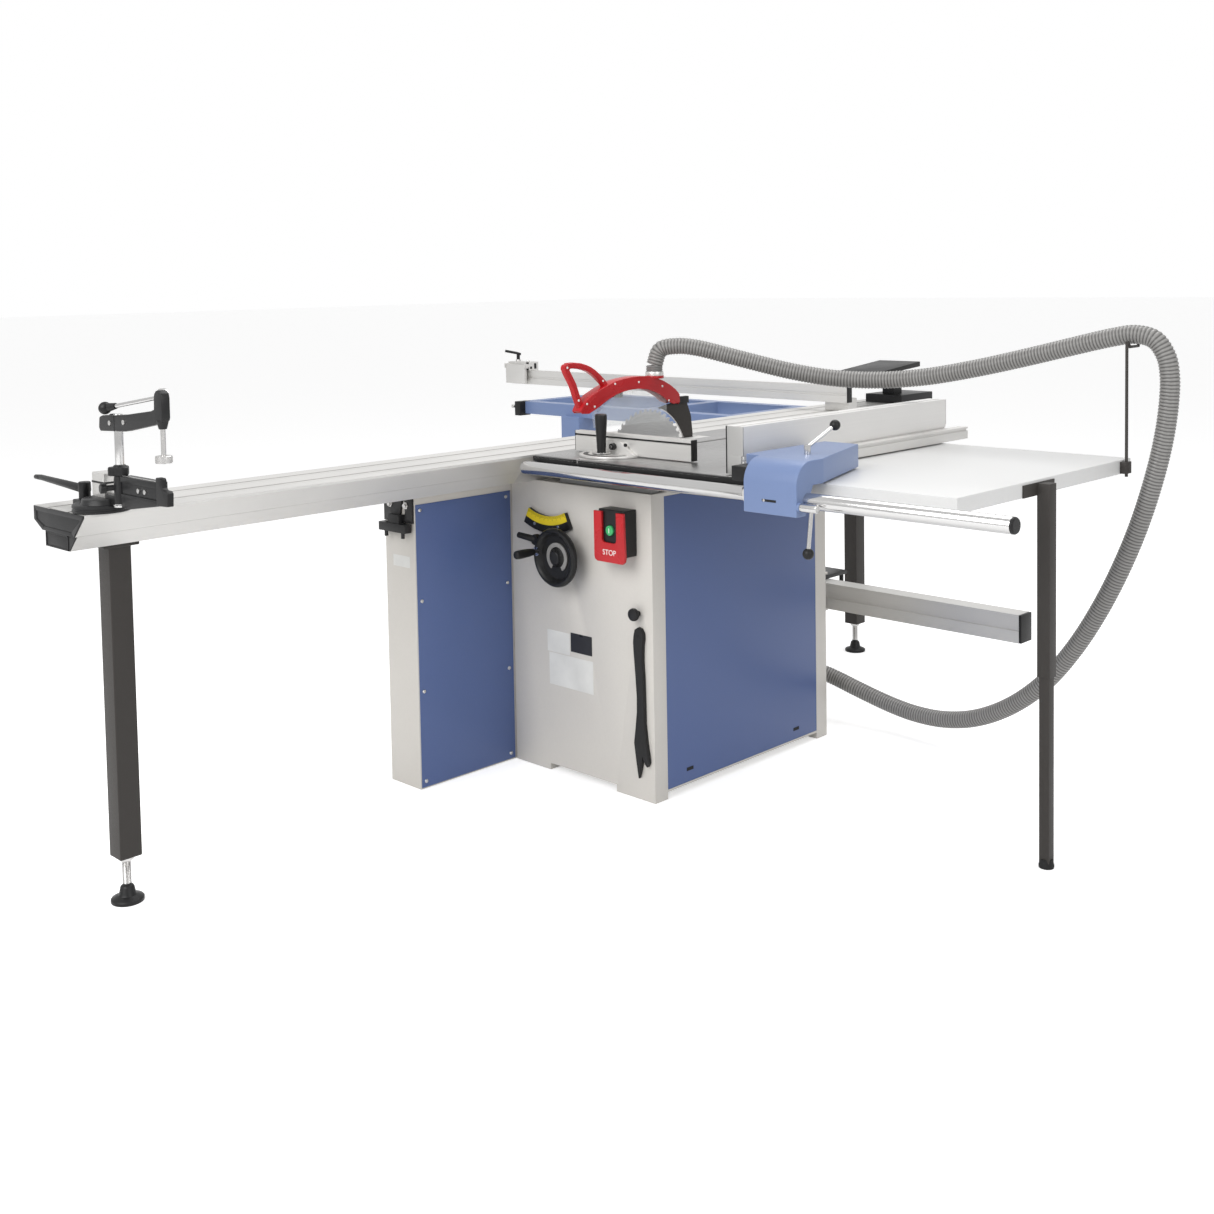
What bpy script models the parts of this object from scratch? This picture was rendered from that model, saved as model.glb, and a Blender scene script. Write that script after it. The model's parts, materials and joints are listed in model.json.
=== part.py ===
"""Panel saw: a circular saw with a sliding table, an outrigger and a rip fence.

Metres, +Z up. +Y is the cutting direction, away from the operator, and +X is the operator's right.
Local coordinates are measured from the front right bottom corner of the cabinet, which sits at DATUM,
so that the origin is on the floor under the middle of the whole machine.
"""

import math

import bmesh
import bpy
from mathutils import Matrix, Vector

# Driving sizes
OVERALL_WIDTH = 3.060  # from the flip stop to the end of the fence rail
OVERALL_LENGTH = 3.200  # guide beam and sliding table
TABLE_TOP = 0.868
GAP = 0.0003  # between parts that touch
PLAY = 0.0005  # between parts that slide or turn

CABINET_WIDTH = 0.520
CABINET_DEPTH = 0.730
CABINET_TOP = 0.785
CABINET_WALL = 0.003
CABINET_FOOT = 0.018
CORNER_POST = 0.048

WING_WIDTH = 0.124
WING_FRONT = -0.332
WING_BACK = 0.400
WING_TOP = 0.775
WING_OFFSET = 0.0045  # gap to the cabinet, filled by its flange

TABLE_LEFT = -0.337
TABLE_RIGHT = 0.350
TABLE_FRONT = -0.080
TABLE_BACK = 0.720
TABLE_PLATE = 0.012
TABLE_SKIRT = 0.040
MITRE_SLOT_X = -0.170
MITRE_SLOT_WIDTH = 0.019
MITRE_SLOT_DEPTH = 0.0095

EXTENSION_RIGHT = 0.888
EXTENSION_BACK = 0.752
EXTENSION_FRONT = -0.047
EXTENSION_LIP = 0.034

BLADE_RADIUS = 0.1575
BLADE_THICKNESS = 0.0028
BLADE_X = -0.285
BLADE_Y = 0.295
CUT_HEIGHT = 0.093
RISE = 0.094
TILT_DEGREES = 45.0
ARBOR_RADIUS = 0.015
MOTOR_RADIUS = 0.065
MOTOR_BACK = 0.130  # motor axis behind and below the arbor
MOTOR_DOWN = 0.100

TRUNNION_INNER = 0.135
TRUNNION_OUTER = 0.160
TRUNNION_THICKNESS = 0.015
TRUNNION_FRONT = 0.070
TRUNNION_BACK = 0.5285

BEAM_BACK = 1.896
BEAM_RIGHT = -0.4175
BEAM_WIDTH = 0.106
BEAM_HEIGHT = 0.0335
CARRIAGE_RIGHT = -0.3395
CARRIAGE_WIDTH = 0.227
CARRIAGE_EDGE = 0.015
TABLE_SLOT_WIDTH = 0.010
TABLE_SLOT_DEPTH = 0.008

LEG_SIDE = 0.050
LEG_X = -0.470
FRONT_LEG_INSET = 0.129
REAR_LEG_Y = 1.552
LEG_CLEAR = 0.100  # bottom of the square tube
FOOT_RADIUS = 0.035

RAIL_RADIUS = 0.0175
RAIL_Y = -0.120
RAIL_Z = 0.840
RAIL_LEFT = -0.330
RAIL_END = 1.060

FENCE_X = 0.352  # right face of the tall profile
FENCE_THICKNESS = 0.050
FENCE_HEIGHT = 0.110
FENCE_FRONT = -0.070
FENCE_BACK = 0.800
FENCE_BAR_WIDTH = 0.030
FENCE_BAR_HEIGHT = 0.032
FENCE_CLEAR = 0.0035

SLEEVE_X = -0.270
ARM_Y = 1.030
ARM_BOTTOM = 0.290
ARM_HEIGHT = 0.080
ARM_WIDTH = 0.060
ARM_SWAY = 0.080  # room that the arm needs on each side of the sleeve's middle at mid travel
ARM_RIGHT = 0.465
COLUMN_X = -1.305
COLUMN_SIDE = 0.090

OUTRIGGER_LEFT = -1.600
OUTRIGGER_FRONT = 1.010
OUTRIGGER_BACK = 1.440
OUTRIGGER_BEAM = 0.045
OUTRIGGER_TOP = 0.866

CROSSCUT_RIGHT = -0.330
CROSSCUT_Y = 1.330
CROSSCUT_THICKNESS = 0.026
CROSSCUT_BOTTOM = 0.898
CROSSCUT_HEIGHT = 0.056

CLAMP_X = -0.376
CLAMP_INSET = 0.059
COLUMN_RADIUS = 0.0090

HANDWHEEL_X = -0.297
HANDWHEEL_Y = -0.050
HANDWHEEL_Z = 0.597
HANDWHEEL_RADIUS = 0.078

LEG3_Y = 0.300
LEG3_SIDE = 0.030

HOSE_RADIUS = 0.024
PORT_Z = 0.150
PORT_X = -0.150

# Sizes that follow from the ones above
BEAM_FRONT = BEAM_BACK - OVERALL_LENGTH
FRONT_LEG_Y = BEAM_FRONT + FRONT_LEG_INSET
CLAMP_Y = BEAM_FRONT + CLAMP_INSET
DATUM = Vector((OVERALL_WIDTH / 2 - RAIL_END, -OVERALL_LENGTH / 2 - BEAM_FRONT, 0.0))
STOP_LEFT = RAIL_END - OVERALL_WIDTH
CROSSCUT_LEFT = STOP_LEFT + 0.012
ARBOR_Z = TABLE_TOP + CUT_HEIGHT - BLADE_RADIUS
BEAM_LEFT = BEAM_RIGHT - BEAM_WIDTH
BEAM_BOTTOM = CABINET_TOP + GAP
BEAM_TOP = BEAM_BOTTOM + BEAM_HEIGHT
CARRIAGE_LEFT = CARRIAGE_RIGHT - CARRIAGE_WIDTH
WING_RIGHT = -CABINET_WIDTH - WING_OFFSET
WING_LEFT = WING_RIGHT - WING_WIDTH
PLATE_BOTTOM = TABLE_TOP - TABLE_PLATE
LEG3_X = EXTENSION_RIGHT + GAP + LEG3_SIDE / 2
MOTOR_Y = BLADE_Y + MOTOR_BACK
MOTOR_Z = ARBOR_Z - MOTOR_DOWN
BEARING_X = BLADE_X + 0.020
RISE_PLATE_X = BLADE_X + 0.175
WEB_X = RISE_PLATE_X + 0.012 + PLAY
PULLEY_X = WEB_X + 0.012 + 0.0045
PULLEY_WIDTH = 0.022
FENCE_BOTTOM = TABLE_TOP + FENCE_CLEAR

PALE = (0.74, 0.73, 0.70)
BLUE = (0.16, 0.25, 0.46)
LIGHT_BLUE = (0.29, 0.42, 0.70)
ALUMINIUM = (0.72, 0.71, 0.69)
IRON = (0.50, 0.50, 0.49)
CHROME = (0.80, 0.80, 0.80)
BLACK = (0.02, 0.02, 0.02)
DARK = (0.07, 0.07, 0.07)
RED = (0.70, 0.02, 0.03)
GREEN = (0.03, 0.35, 0.08)
STEEL = (0.62, 0.62, 0.61)
HOSE_GREY = (0.40, 0.40, 0.40)


def clear_scene():
    for obj in list(bpy.data.objects):
        bpy.data.objects.remove(obj)


def new_collection(name, helper=False):
    group = bpy.data.collections.new(name)
    bpy.context.scene.collection.children.link(group)
    group.hide_render = helper
    return group


def material(name, colour, roughness, metallic=0.0):
    finish = bpy.data.materials.new(name)
    finish.use_nodes = True
    shader = finish.node_tree.nodes["Principled BSDF"]
    shader.inputs["Base Color"].default_value = (*colour, 1.0)
    shader.inputs["Roughness"].default_value = roughness
    shader.inputs["Metallic"].default_value = metallic
    return finish


clear_scene()
PARTS = new_collection("panel_saw")
TOOLS = new_collection("cutters", helper=True)
FLOOR_DATUM = bpy.data.objects.new("floor_datum", None)
FLOOR_DATUM.location = DATUM
PARTS.objects.link(FLOOR_DATUM)

FINISH = {
    "pale": material("pale_paint", PALE, 0.45),
    "blue": material("blue_paint", BLUE, 0.45),
    "light_blue": material("light_blue_paint", LIGHT_BLUE, 0.40),
    "aluminium": material("anodised_aluminium", ALUMINIUM, 0.35, 1.0),
    "iron": material("ground_cast_iron", IRON, 0.40, 1.0),
    "chrome": material("chrome_plate", CHROME, 0.12, 1.0),
    "black": material("black_plastic", BLACK, 0.45),
    "dark": material("dark_paint", DARK, 0.50),
    "red": material("red_plastic", RED, 0.35),
    "green": material("green_plastic", GREEN, 0.35),
    "steel": material("bright_steel", STEEL, 0.25, 1.0),
    "clear": material("clear_plastic", (0.80, 0.85, 0.85), 0.10),
    "hose": material("grey_hose", HOSE_GREY, 0.50),
}


def add(name, mesh, finish=None):
    """A mesh as a part of the saw, or as a helper when it has no finish."""
    obj = bpy.data.objects.new(name, mesh)
    obj.parent = FLOOR_DATUM
    if finish:
        PARTS.objects.link(obj)
        obj.data.materials.append(FINISH[finish])
    else:
        TOOLS.objects.link(obj)
        obj.hide_render = True
        obj.display_type = "WIRE"
    return obj


def from_bmesh(name, shape, finish):
    mesh = bpy.data.meshes.new(name)
    shape.to_mesh(mesh)
    shape.free()
    return add(name, mesh, finish)


def box(name, low, high, finish=None):
    shape = bmesh.new()
    bmesh.ops.create_cube(shape, size=1.0)
    low, high = Vector(low), Vector(high)
    for vertex in shape.verts:
        part = vertex.co + Vector((0.5, 0.5, 0.5))
        vertex.co = Vector(low[i] + part[i] * (high[i] - low[i]) for i in range(3))
    return from_bmesh(name, shape, finish)


def along(start, end):
    """The matrix that takes the Z axis to the line from start to end, centred between them."""
    start, end = Vector(start), Vector(end)
    turn = (end - start).to_track_quat("Z", "Y").to_matrix().to_4x4()
    return Matrix.Translation((start + end) / 2) @ turn


def rod(name, start, end, radius, finish=None, end_radius=None, sides=20):
    shape = bmesh.new()
    last = radius if end_radius is None else end_radius
    bmesh.ops.create_cone(
        shape, cap_ends=True, segments=sides, radius1=radius, radius2=last,
        depth=(Vector(end) - Vector(start)).length, matrix=along(start, end),
    )
    obj = from_bmesh(name, shape, finish)
    obj.data.shade_smooth()
    obj.data.set_sharp_from_angle(angle=math.radians(40))
    return obj


def ball(name, centre, radius, finish=None):
    shape = bmesh.new()
    bmesh.ops.create_uvsphere(
        shape, u_segments=14, v_segments=8, radius=radius, matrix=Matrix.Translation(centre)
    )
    obj = from_bmesh(name, shape, finish)
    obj.data.shade_smooth()
    return obj


PLANES = {
    "X": Matrix(((0, 0, 1, 0), (1, 0, 0, 0), (0, 1, 0, 0), (0, 0, 0, 1))),  # outline holds (y, z)
    "Y": Matrix(((1, 0, 0, 0), (0, 0, -1, 0), (0, 1, 0, 0), (0, 0, 0, 1))),  # outline holds (x, z)
    "Z": Matrix.Identity(4),  # outline holds (x, y)
}


def plate(name, outline, axis, low, high, finish=None):
    """A flat outline thickened along one axis, from low to high."""
    curve = bpy.data.curves.new(name, "CURVE")
    curve.dimensions = "2D"
    curve.fill_mode = "BOTH"
    curve.extrude = (high - low) / 2
    spline = curve.splines.new("POLY")
    spline.points.add(len(outline) - 1)
    for point, (u, v) in zip(spline.points, outline):
        point.co = (u, v, 0.0, 1.0)
    spline.use_cyclic_u = True
    centre = Vector([(low + high) / 2 if letter == axis else 0.0 for letter in "XYZ"])
    return solid_from(name, curve, Matrix.Translation(centre) @ PLANES[axis], finish)


def solid_from(name, curve, matrix, finish):
    """A filled curve made a closed mesh, because a curve takes no Boolean."""
    guide = bpy.data.objects.new(name + "_guide", curve)
    TOOLS.objects.link(guide)
    guide.hide_render = True
    graph = bpy.context.evaluated_depsgraph_get()
    graph.update()
    mesh = bpy.data.meshes.new_from_object(guide.evaluated_get(graph))
    bpy.data.objects.remove(guide)
    shape = bmesh.new()
    shape.from_mesh(mesh)
    bmesh.ops.remove_doubles(shape, verts=shape.verts, dist=1e-6)
    bmesh.ops.transform(shape, matrix=matrix, verts=shape.verts)
    bmesh.ops.recalc_face_normals(shape, faces=shape.faces)
    bpy.data.meshes.remove(mesh)
    return from_bmesh(name, shape, finish)


def tube(name, points, radius, finish=None, resolution=2):
    """A round bar along a line of points."""
    curve = bpy.data.curves.new(name, "CURVE")
    curve.dimensions = "3D"
    curve.bevel_depth = radius
    curve.bevel_resolution = resolution
    curve.use_fill_caps = True
    spline = curve.splines.new("POLY")
    spline.points.add(len(points) - 1)
    for point, place in zip(spline.points, points):
        point.co = (*place, 1.0)
    return solid_from(name, curve, Matrix.Identity(4), finish)


def arc(centre, radius, start, end, steps):
    """Points round a centre, with angles in degrees from the first axis of the plane."""
    turns = [math.radians(start + (end - start) * i / steps) for i in range(steps + 1)]
    return [(centre[0] + radius * math.cos(t), centre[1] + radius * math.sin(t)) for t in turns]


def ring_sector(centre, inner, outer, start, end, steps):
    return arc(centre, outer, start, end, steps) + arc(centre, inner, end, start, steps)


def combine(obj, operation, others):
    for other in others:
        change = obj.modifiers.new(f"{operation.lower()}_{other.name}", "BOOLEAN")
        change.operation = operation
        change.solver = "EXACT"
        change.object = other
    return obj


def join(obj, *others):
    return combine(obj, "UNION", others)


def cut(obj, *others):
    return combine(obj, "DIFFERENCE", others)


def pivot(obj, point):
    """Put the origin of a moving part on its joint, with the part where it was."""
    obj.data.transform(Matrix.Translation(-Vector(point)))
    for change in obj.modifiers:
        tool = change.object
        tool.data.transform(Matrix.Translation(-Vector(point)))
        tool.location = point
    obj.location = point
    return obj


# Cabinet and wing


def cabinet():
    wall, top = CABINET_WALL, CABINET_TOP
    shell = box("cabinet", (-CABINET_WIDTH, 0, CABINET_FOOT), (0, CABINET_DEPTH, top), "pale")
    inside = box(
        "cabinet_inside", (-CABINET_WIDTH + wall, wall, CABINET_FOOT + wall),
        (-wall, CABINET_DEPTH - wall, top - wall),
    )
    side = box(
        "cabinet_side_opening", (-2 * wall, CORNER_POST, CABINET_FOOT + 0.006),
        (wall, CABINET_DEPTH - CORNER_POST, top - 0.010),
    )
    over = box(
        "cabinet_top_opening", (BLADE_X - 0.120, 0.045, top - 2 * wall), (-0.020, CABINET_DEPTH - 0.050, top + wall)
    )
    port = rod(
        "cabinet_port_hole", (PORT_X, CABINET_DEPTH - 0.02, PORT_Z), (PORT_X, CABINET_DEPTH + 0.02, PORT_Z),
        HOSE_RADIUS + 0.003 + GAP,
    )
    shaft = rod("wheel_shaft_hole", (HANDWHEEL_X, -0.02, HANDWHEEL_Z), (HANDWHEEL_X, 0.02, HANDWHEEL_Z), 0.0125)
    cut(shell, inside, side, over, port, shaft)
    feet = []
    for x in (-CABINET_WIDTH, -0.136):
        for y in (0.0, CABINET_DEPTH - CORNER_POST):
            feet.append(
                box(f"cabinet_foot_{len(feet)}", (x, y, 0), (x + 0.136, y + CORNER_POST, CABINET_FOOT + 0.002))
            )
    reach = ARM_Y + 0.030
    ears = [
        box(f"arm_bracket_{i}", (SLEEVE_X - 0.040, CABINET_DEPTH - 0.002, z), (SLEEVE_X + 0.040, reach, z + 0.008))
        for i, z in enumerate((ARM_BOTTOM - 0.0205, ARM_BOTTOM + ARM_HEIGHT + 0.0125))
    ]
    back = box(
        "arm_bracket_back", (SLEEVE_X - 0.050, CABINET_DEPTH - 0.001, ARM_BOTTOM - 0.030),
        (SLEEVE_X + 0.050, CABINET_DEPTH + 0.012, ARM_BOTTOM + ARM_HEIGHT + 0.030),
    )
    return join(shell, *feet, *ears, back)


def right_side_panel():
    return box(
        "right_side_panel", (-0.0025, CORNER_POST + GAP, CABINET_FOOT + 0.006 + GAP),
        (-0.0005, CABINET_DEPTH - CORNER_POST - GAP, CABINET_TOP - 0.010 - GAP), "blue",
    )


STOP_BUTTON = (WING_LEFT, -0.290, 0.157)


def wing_box():
    wall = CABINET_WALL
    shell = box("wing_box", (WING_LEFT, WING_FRONT, 0), (WING_RIGHT, WING_BACK, WING_TOP), "pale")
    inside = box(
        "wing_inside", (WING_LEFT + wall, WING_FRONT + wall, wall), (WING_RIGHT - wall, WING_BACK - wall, WING_TOP - wall)
    )
    side = box("wing_side_opening", (WING_RIGHT - 2 * wall, WING_FRONT + 0.020, 0.030), (WING_RIGHT + wall, -0.020, 0.730))
    flange = box("wing_flange", (WING_RIGHT - 0.001, 0.010, 0.020), (-CABINET_WIDTH - GAP, WING_BACK - 0.020, 0.760))
    head = box("wing_head", (WING_LEFT + 0.010, WING_FRONT + 0.010, WING_TOP - 0.004), (WING_RIGHT - 0.002, 0.200, BEAM_BOTTOM - GAP))
    x, y, z = STOP_BUTTON
    button_hole = rod("button_hole", (x - 0.01, y, z), (x + 0.01, y, z), 0.0115, sides=16)
    return join(cut(shell, inside, side, button_hole), flange, head)


def wing_side_panel():
    return box(
        "wing_side_panel", (WING_RIGHT + GAP, WING_FRONT + 0.003, 0.004), (WING_RIGHT + GAP + 0.0015, -0.003, 0.748), "blue"
    )


def wing_bracket():
    """Slotted black angle that carries the guide beam, with its clamp bar below."""
    face = WING_FRONT - GAP
    low_bar = box("bracket_low_bar", (WING_LEFT + 0.006, face - 0.026, 0.676), (WING_RIGHT - 0.008, face - 0.004, 0.698))
    stem = box("bracket_stem", (WING_LEFT + 0.040, face - 0.020, 0.690), (WING_RIGHT - 0.040, face - 0.002, 0.720))
    bracket = box("wing_bracket", (WING_LEFT + 0.004, face - 0.006, 0.700), (WING_RIGHT - 0.002, face, 0.770), "black")
    slot = plate(
        "bracket_slot",
        [(WING_LEFT + 0.070, 0.716), (WING_LEFT + 0.092, 0.722), (WING_LEFT + 0.092, 0.756), (WING_LEFT + 0.080, 0.758)],
        "Y", face - 0.02, face + 0.02,
    )
    bolts = [
        rod(f"bracket_bolt_{i}", (x, face - 0.015, 0.660), (x, face - 0.015, 0.680), 0.005, sides=10)
        for i, x in enumerate((WING_LEFT + 0.024, WING_RIGHT - 0.030))
    ]
    return join(cut(bracket, slot), stem, low_bar, *bolts)


# Tables


def main_table():
    """Ribbed cast table with the ways that the tilting cradle hangs on."""
    table = box("main_table", (TABLE_LEFT, TABLE_FRONT, TABLE_TOP - TABLE_SKIRT), (TABLE_RIGHT, TABLE_BACK, TABLE_TOP), "iron")
    rim = 0.012
    pocket = box(
        "table_pocket", (TABLE_LEFT + rim, TABLE_FRONT + rim, TABLE_TOP - TABLE_SKIRT - 0.01),
        (TABLE_RIGHT - rim, TABLE_BACK - rim, PLATE_BOTTOM),
    )
    slot = box(
        "mitre_slot", (MITRE_SLOT_X - MITRE_SLOT_WIDTH / 2, TABLE_FRONT - 0.01, TABLE_TOP - MITRE_SLOT_DEPTH),
        (MITRE_SLOT_X + MITRE_SLOT_WIDTH / 2, TABLE_BACK + 0.01, TABLE_TOP + 0.01),
    )
    recess = box("insert_recess", (TABLE_LEFT - 0.01, 0.095, TABLE_TOP - 0.0045), (BLADE_X + 0.045, 0.515, TABLE_TOP + 0.01))
    well = box("blade_well", (TABLE_LEFT - 0.01, 0.105, TABLE_TOP - 0.06), (BLADE_X + 0.038, 0.505, TABLE_TOP + 0.005))
    cut(table, pocket, slot, recess, well)
    pieces = []
    for i, (low, high) in enumerate(((0.006, 0.036), (CABINET_DEPTH - 0.044, CABINET_DEPTH - 0.014))):
        pieces.append(box(f"table_rest_{i}", (TABLE_LEFT + 0.004, low, CABINET_TOP + GAP), (-0.004, high, PLATE_BOTTOM + 0.002)))
    for i, y in enumerate((TRUNNION_FRONT, TRUNNION_BACK)):
        way = ring_sector((BLADE_X, TABLE_TOP), TRUNNION_INNER, TRUNNION_OUTER, -138, -10, 20)
        pieces.append(plate(f"trunnion_way_{i}", way, "Y", y, y + TRUNNION_THICKNESS))
        pieces.append(
            box(f"trunnion_post_{i}", (BLADE_X - 0.045, y, TABLE_TOP - 0.140), (BLADE_X - 0.015, y + TRUNNION_THICKNESS, PLATE_BOTTOM + 0.002))
        )
    for i, x in enumerate((-0.030, 0.160)):
        pieces.append(box(f"table_rib_{i}", (x, TABLE_FRONT + 0.005, 0.838), (x + 0.010, TABLE_BACK - 0.005, PLATE_BOTTOM + 0.002)))
    return join(table, *pieces)


def table_insert():
    insert = box("table_insert", (TABLE_LEFT, 0.0954, TABLE_TOP - 0.0042), (BLADE_X + 0.0446, 0.5146, TABLE_TOP - GAP), "aluminium")
    slot = box("insert_slot", (BLADE_X - 0.0075, 0.125, TABLE_TOP - 0.02), (BLADE_X + 0.0060, 0.508, TABLE_TOP + 0.02))
    return cut(insert, slot)


def scale_bar():
    """Black strip on the front edge of the table, with the studs that hold the round rail."""
    strip = box("scale_bar", (TABLE_LEFT + 0.010, TABLE_FRONT - 0.014, TABLE_TOP - 0.014), (TABLE_RIGHT + 0.200, TABLE_FRONT - GAP, TABLE_TOP - 0.001), "black")
    lower = box("rail_holder", (TABLE_LEFT + 0.020, TABLE_FRONT - 0.012, TABLE_TOP - TABLE_SKIRT), (TABLE_RIGHT + 0.190, TABLE_FRONT - GAP, TABLE_TOP - 0.010))
    studs = [
        rod(f"rail_stud_{i}", (x, RAIL_Y + RAIL_RADIUS + GAP, RAIL_Z), (x, TABLE_FRONT - 0.008, RAIL_Z), 0.007, sides=12)
        for i, x in enumerate((TABLE_LEFT + 0.060, -0.020, TABLE_RIGHT - 0.050, TABLE_RIGHT + 0.170))
    ]
    slot = box(
        "scale_bar_slot", (MITRE_SLOT_X - MITRE_SLOT_WIDTH / 2, TABLE_FRONT - 0.03, TABLE_TOP - MITRE_SLOT_DEPTH),
        (MITRE_SLOT_X + MITRE_SLOT_WIDTH / 2, TABLE_FRONT + 0.01, TABLE_TOP + 0.01),
    )
    return cut(join(strip, lower, *studs), slot)


def extension_table():
    """Folded sheet: a top with a lip turned down on every side."""
    left = TABLE_RIGHT + GAP
    sheet = box("extension_table", (left, EXTENSION_FRONT, TABLE_TOP - EXTENSION_LIP), (EXTENSION_RIGHT, EXTENSION_BACK, TABLE_TOP), "pale")
    hollow = box(
        "extension_hollow", (left + 0.003, EXTENSION_FRONT + 0.003, TABLE_TOP - EXTENSION_LIP - 0.01),
        (EXTENSION_RIGHT - 0.003, EXTENSION_BACK - 0.003, TABLE_TOP - 0.003),
    )
    ribs = [
        box(f"extension_rib_{i}", (left + 0.002, y, TABLE_TOP - 0.028), (EXTENSION_RIGHT - 0.002, y + 0.004, TABLE_TOP - 0.002))
        for i, y in enumerate((0.200, 0.480))
    ]
    return join(cut(sheet, hollow), *ribs)


def fence_rail():
    rail = rod("fence_rail", (RAIL_LEFT, RAIL_Y, RAIL_Z), (RAIL_END - 0.006, RAIL_Y, RAIL_Z), RAIL_RADIUS, "chrome", sides=28)
    cap = rod("rail_cap", (RAIL_END - 0.008, RAIL_Y, RAIL_Z), (RAIL_END, RAIL_Y, RAIL_Z), RAIL_RADIUS - 0.001, sides=28)
    return join(rail, cap)


# Sliding table


def guide_beam():
    beam = box("guide_beam", (BEAM_LEFT, BEAM_FRONT + 0.004, BEAM_BOTTOM), (BEAM_RIGHT, BEAM_BACK, BEAM_TOP), "aluminium")
    groove = box("beam_groove", (BEAM_RIGHT - 0.004, BEAM_FRONT, BEAM_BOTTOM + 0.010), (BEAM_RIGHT + 0.01, BEAM_BACK + 0.01, BEAM_BOTTOM + 0.020))
    return cut(beam, groove)


def sliding_table():
    low = BEAM_TOP + GAP
    section = [
        (CARRIAGE_RIGHT, TABLE_TOP), (CARRIAGE_LEFT, TABLE_TOP), (CARRIAGE_LEFT, TABLE_TOP - 0.030),
        (BEAM_LEFT - 0.004, low), (BEAM_RIGHT, low), (CARRIAGE_RIGHT, TABLE_TOP - CARRIAGE_EDGE),
    ]
    table = plate("sliding_table", section, "Y", BEAM_FRONT, BEAM_BACK, "aluminium")
    slots = [
        box(f"table_slot_{i}", (x - TABLE_SLOT_WIDTH / 2, BEAM_FRONT - 0.01, TABLE_TOP - TABLE_SLOT_DEPTH),
            (x + TABLE_SLOT_WIDTH / 2, BEAM_BACK + 0.01, TABLE_TOP + 0.01))
        for i, x in enumerate((CARRIAGE_RIGHT - 0.072, CARRIAGE_LEFT + 0.060))
    ]
    return cut(table, *slots)


def square_leg(name, y):
    side = LEG_SIDE / 2
    top = BEAM_BOTTOM - GAP
    leg = box(name, (LEG_X - side, y - side, LEG_CLEAR), (LEG_X + side, y + side, top - 0.004), "dark")
    head = box(name + "_head", (LEG_X - 0.034, y - 0.040, top - 0.010), (LEG_X + 0.034, y + 0.040, top))
    socket = rod(name + "_socket", (LEG_X, y, LEG_CLEAR - 0.01), (LEG_X, y, LEG_CLEAR + 0.060), 0.0100)
    return cut(join(leg, head), socket)


def foot(name, y):
    """Levelling foot, turned as one profile: pad, neck and spindle."""
    profile = [
        (0.0, LEG_CLEAR + 0.050), (0.0095, LEG_CLEAR + 0.050), (0.0095, 0.040), (0.014, 0.034), (0.018, 0.022),
        (FOOT_RADIUS, 0.008), (FOOT_RADIUS, 0.0), (0.0, 0.0),
    ]
    return pivot(turned(name, profile, (LEG_X, y, 0.0), "chrome"), (LEG_X, y, 0.0))


def turned(name, profile, base, finish=None, steps=20):
    """A profile of (radius, height) pairs, run down its outer side, turned round Z."""
    mesh = bpy.data.meshes.new(name)
    points = [(radius, 0.0, height) for radius, height in profile]
    mesh.from_pydata(points, [(i, i + 1) for i in range(len(points) - 1)], [])
    mesh.transform(Matrix.Identity(4))
    obj = add(name, mesh, finish)
    turn = obj.modifiers.new("turn", "SCREW")
    turn.axis = "Z"
    turn.steps = steps
    turn.render_steps = steps
    turn.use_merge_vertices = True
    turn.merge_threshold = 0.00005
    turn.use_smooth_shade = True
    graph = bpy.context.evaluated_depsgraph_get()
    graph.update()
    solid = bpy.data.meshes.new_from_object(obj.evaluated_get(graph))
    obj.modifiers.remove(turn)
    obj.data = solid
    obj.data.transform(Matrix.Translation(base))
    return obj


# Right support leg


def table_leg():
    side = LEG3_SIDE / 2
    outer = box("table_leg_outer", (LEG3_X - side, LEG3_Y - side, 0.430), (LEG3_X + side, LEG3_Y + side, TABLE_TOP - 0.008), "dark")
    bore = box("table_leg_bore", (LEG3_X - side + 0.0025, LEG3_Y - side + 0.0025, 0.42), (LEG3_X + side - 0.0025, LEG3_Y + side - 0.0025, TABLE_TOP - 0.012))
    cut(outer, bore)
    lip = EXTENSION_RIGHT + GAP
    bracket = box("leg_bracket", (lip, LEG3_Y - 0.080, TABLE_TOP - 0.034), (lip + 0.003, LEG3_Y + 0.060, TABLE_TOP - 0.006))
    join(outer, bracket)
    inner = box(
        "table_leg_inner", (LEG3_X - side + 0.003, LEG3_Y - side + 0.003, 0.012),
        (LEG3_X + side - 0.003, LEG3_Y + side - 0.003, 0.640), "dark",
    )
    tip = rod("leg_tip", (LEG3_X, LEG3_Y, 0.0), (LEG3_X, LEG3_Y, 0.020), 0.017, end_radius=0.014)
    join(inner, tip)
    pivot(inner, (LEG3_X, LEG3_Y, 0.0))


# Controls


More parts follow.
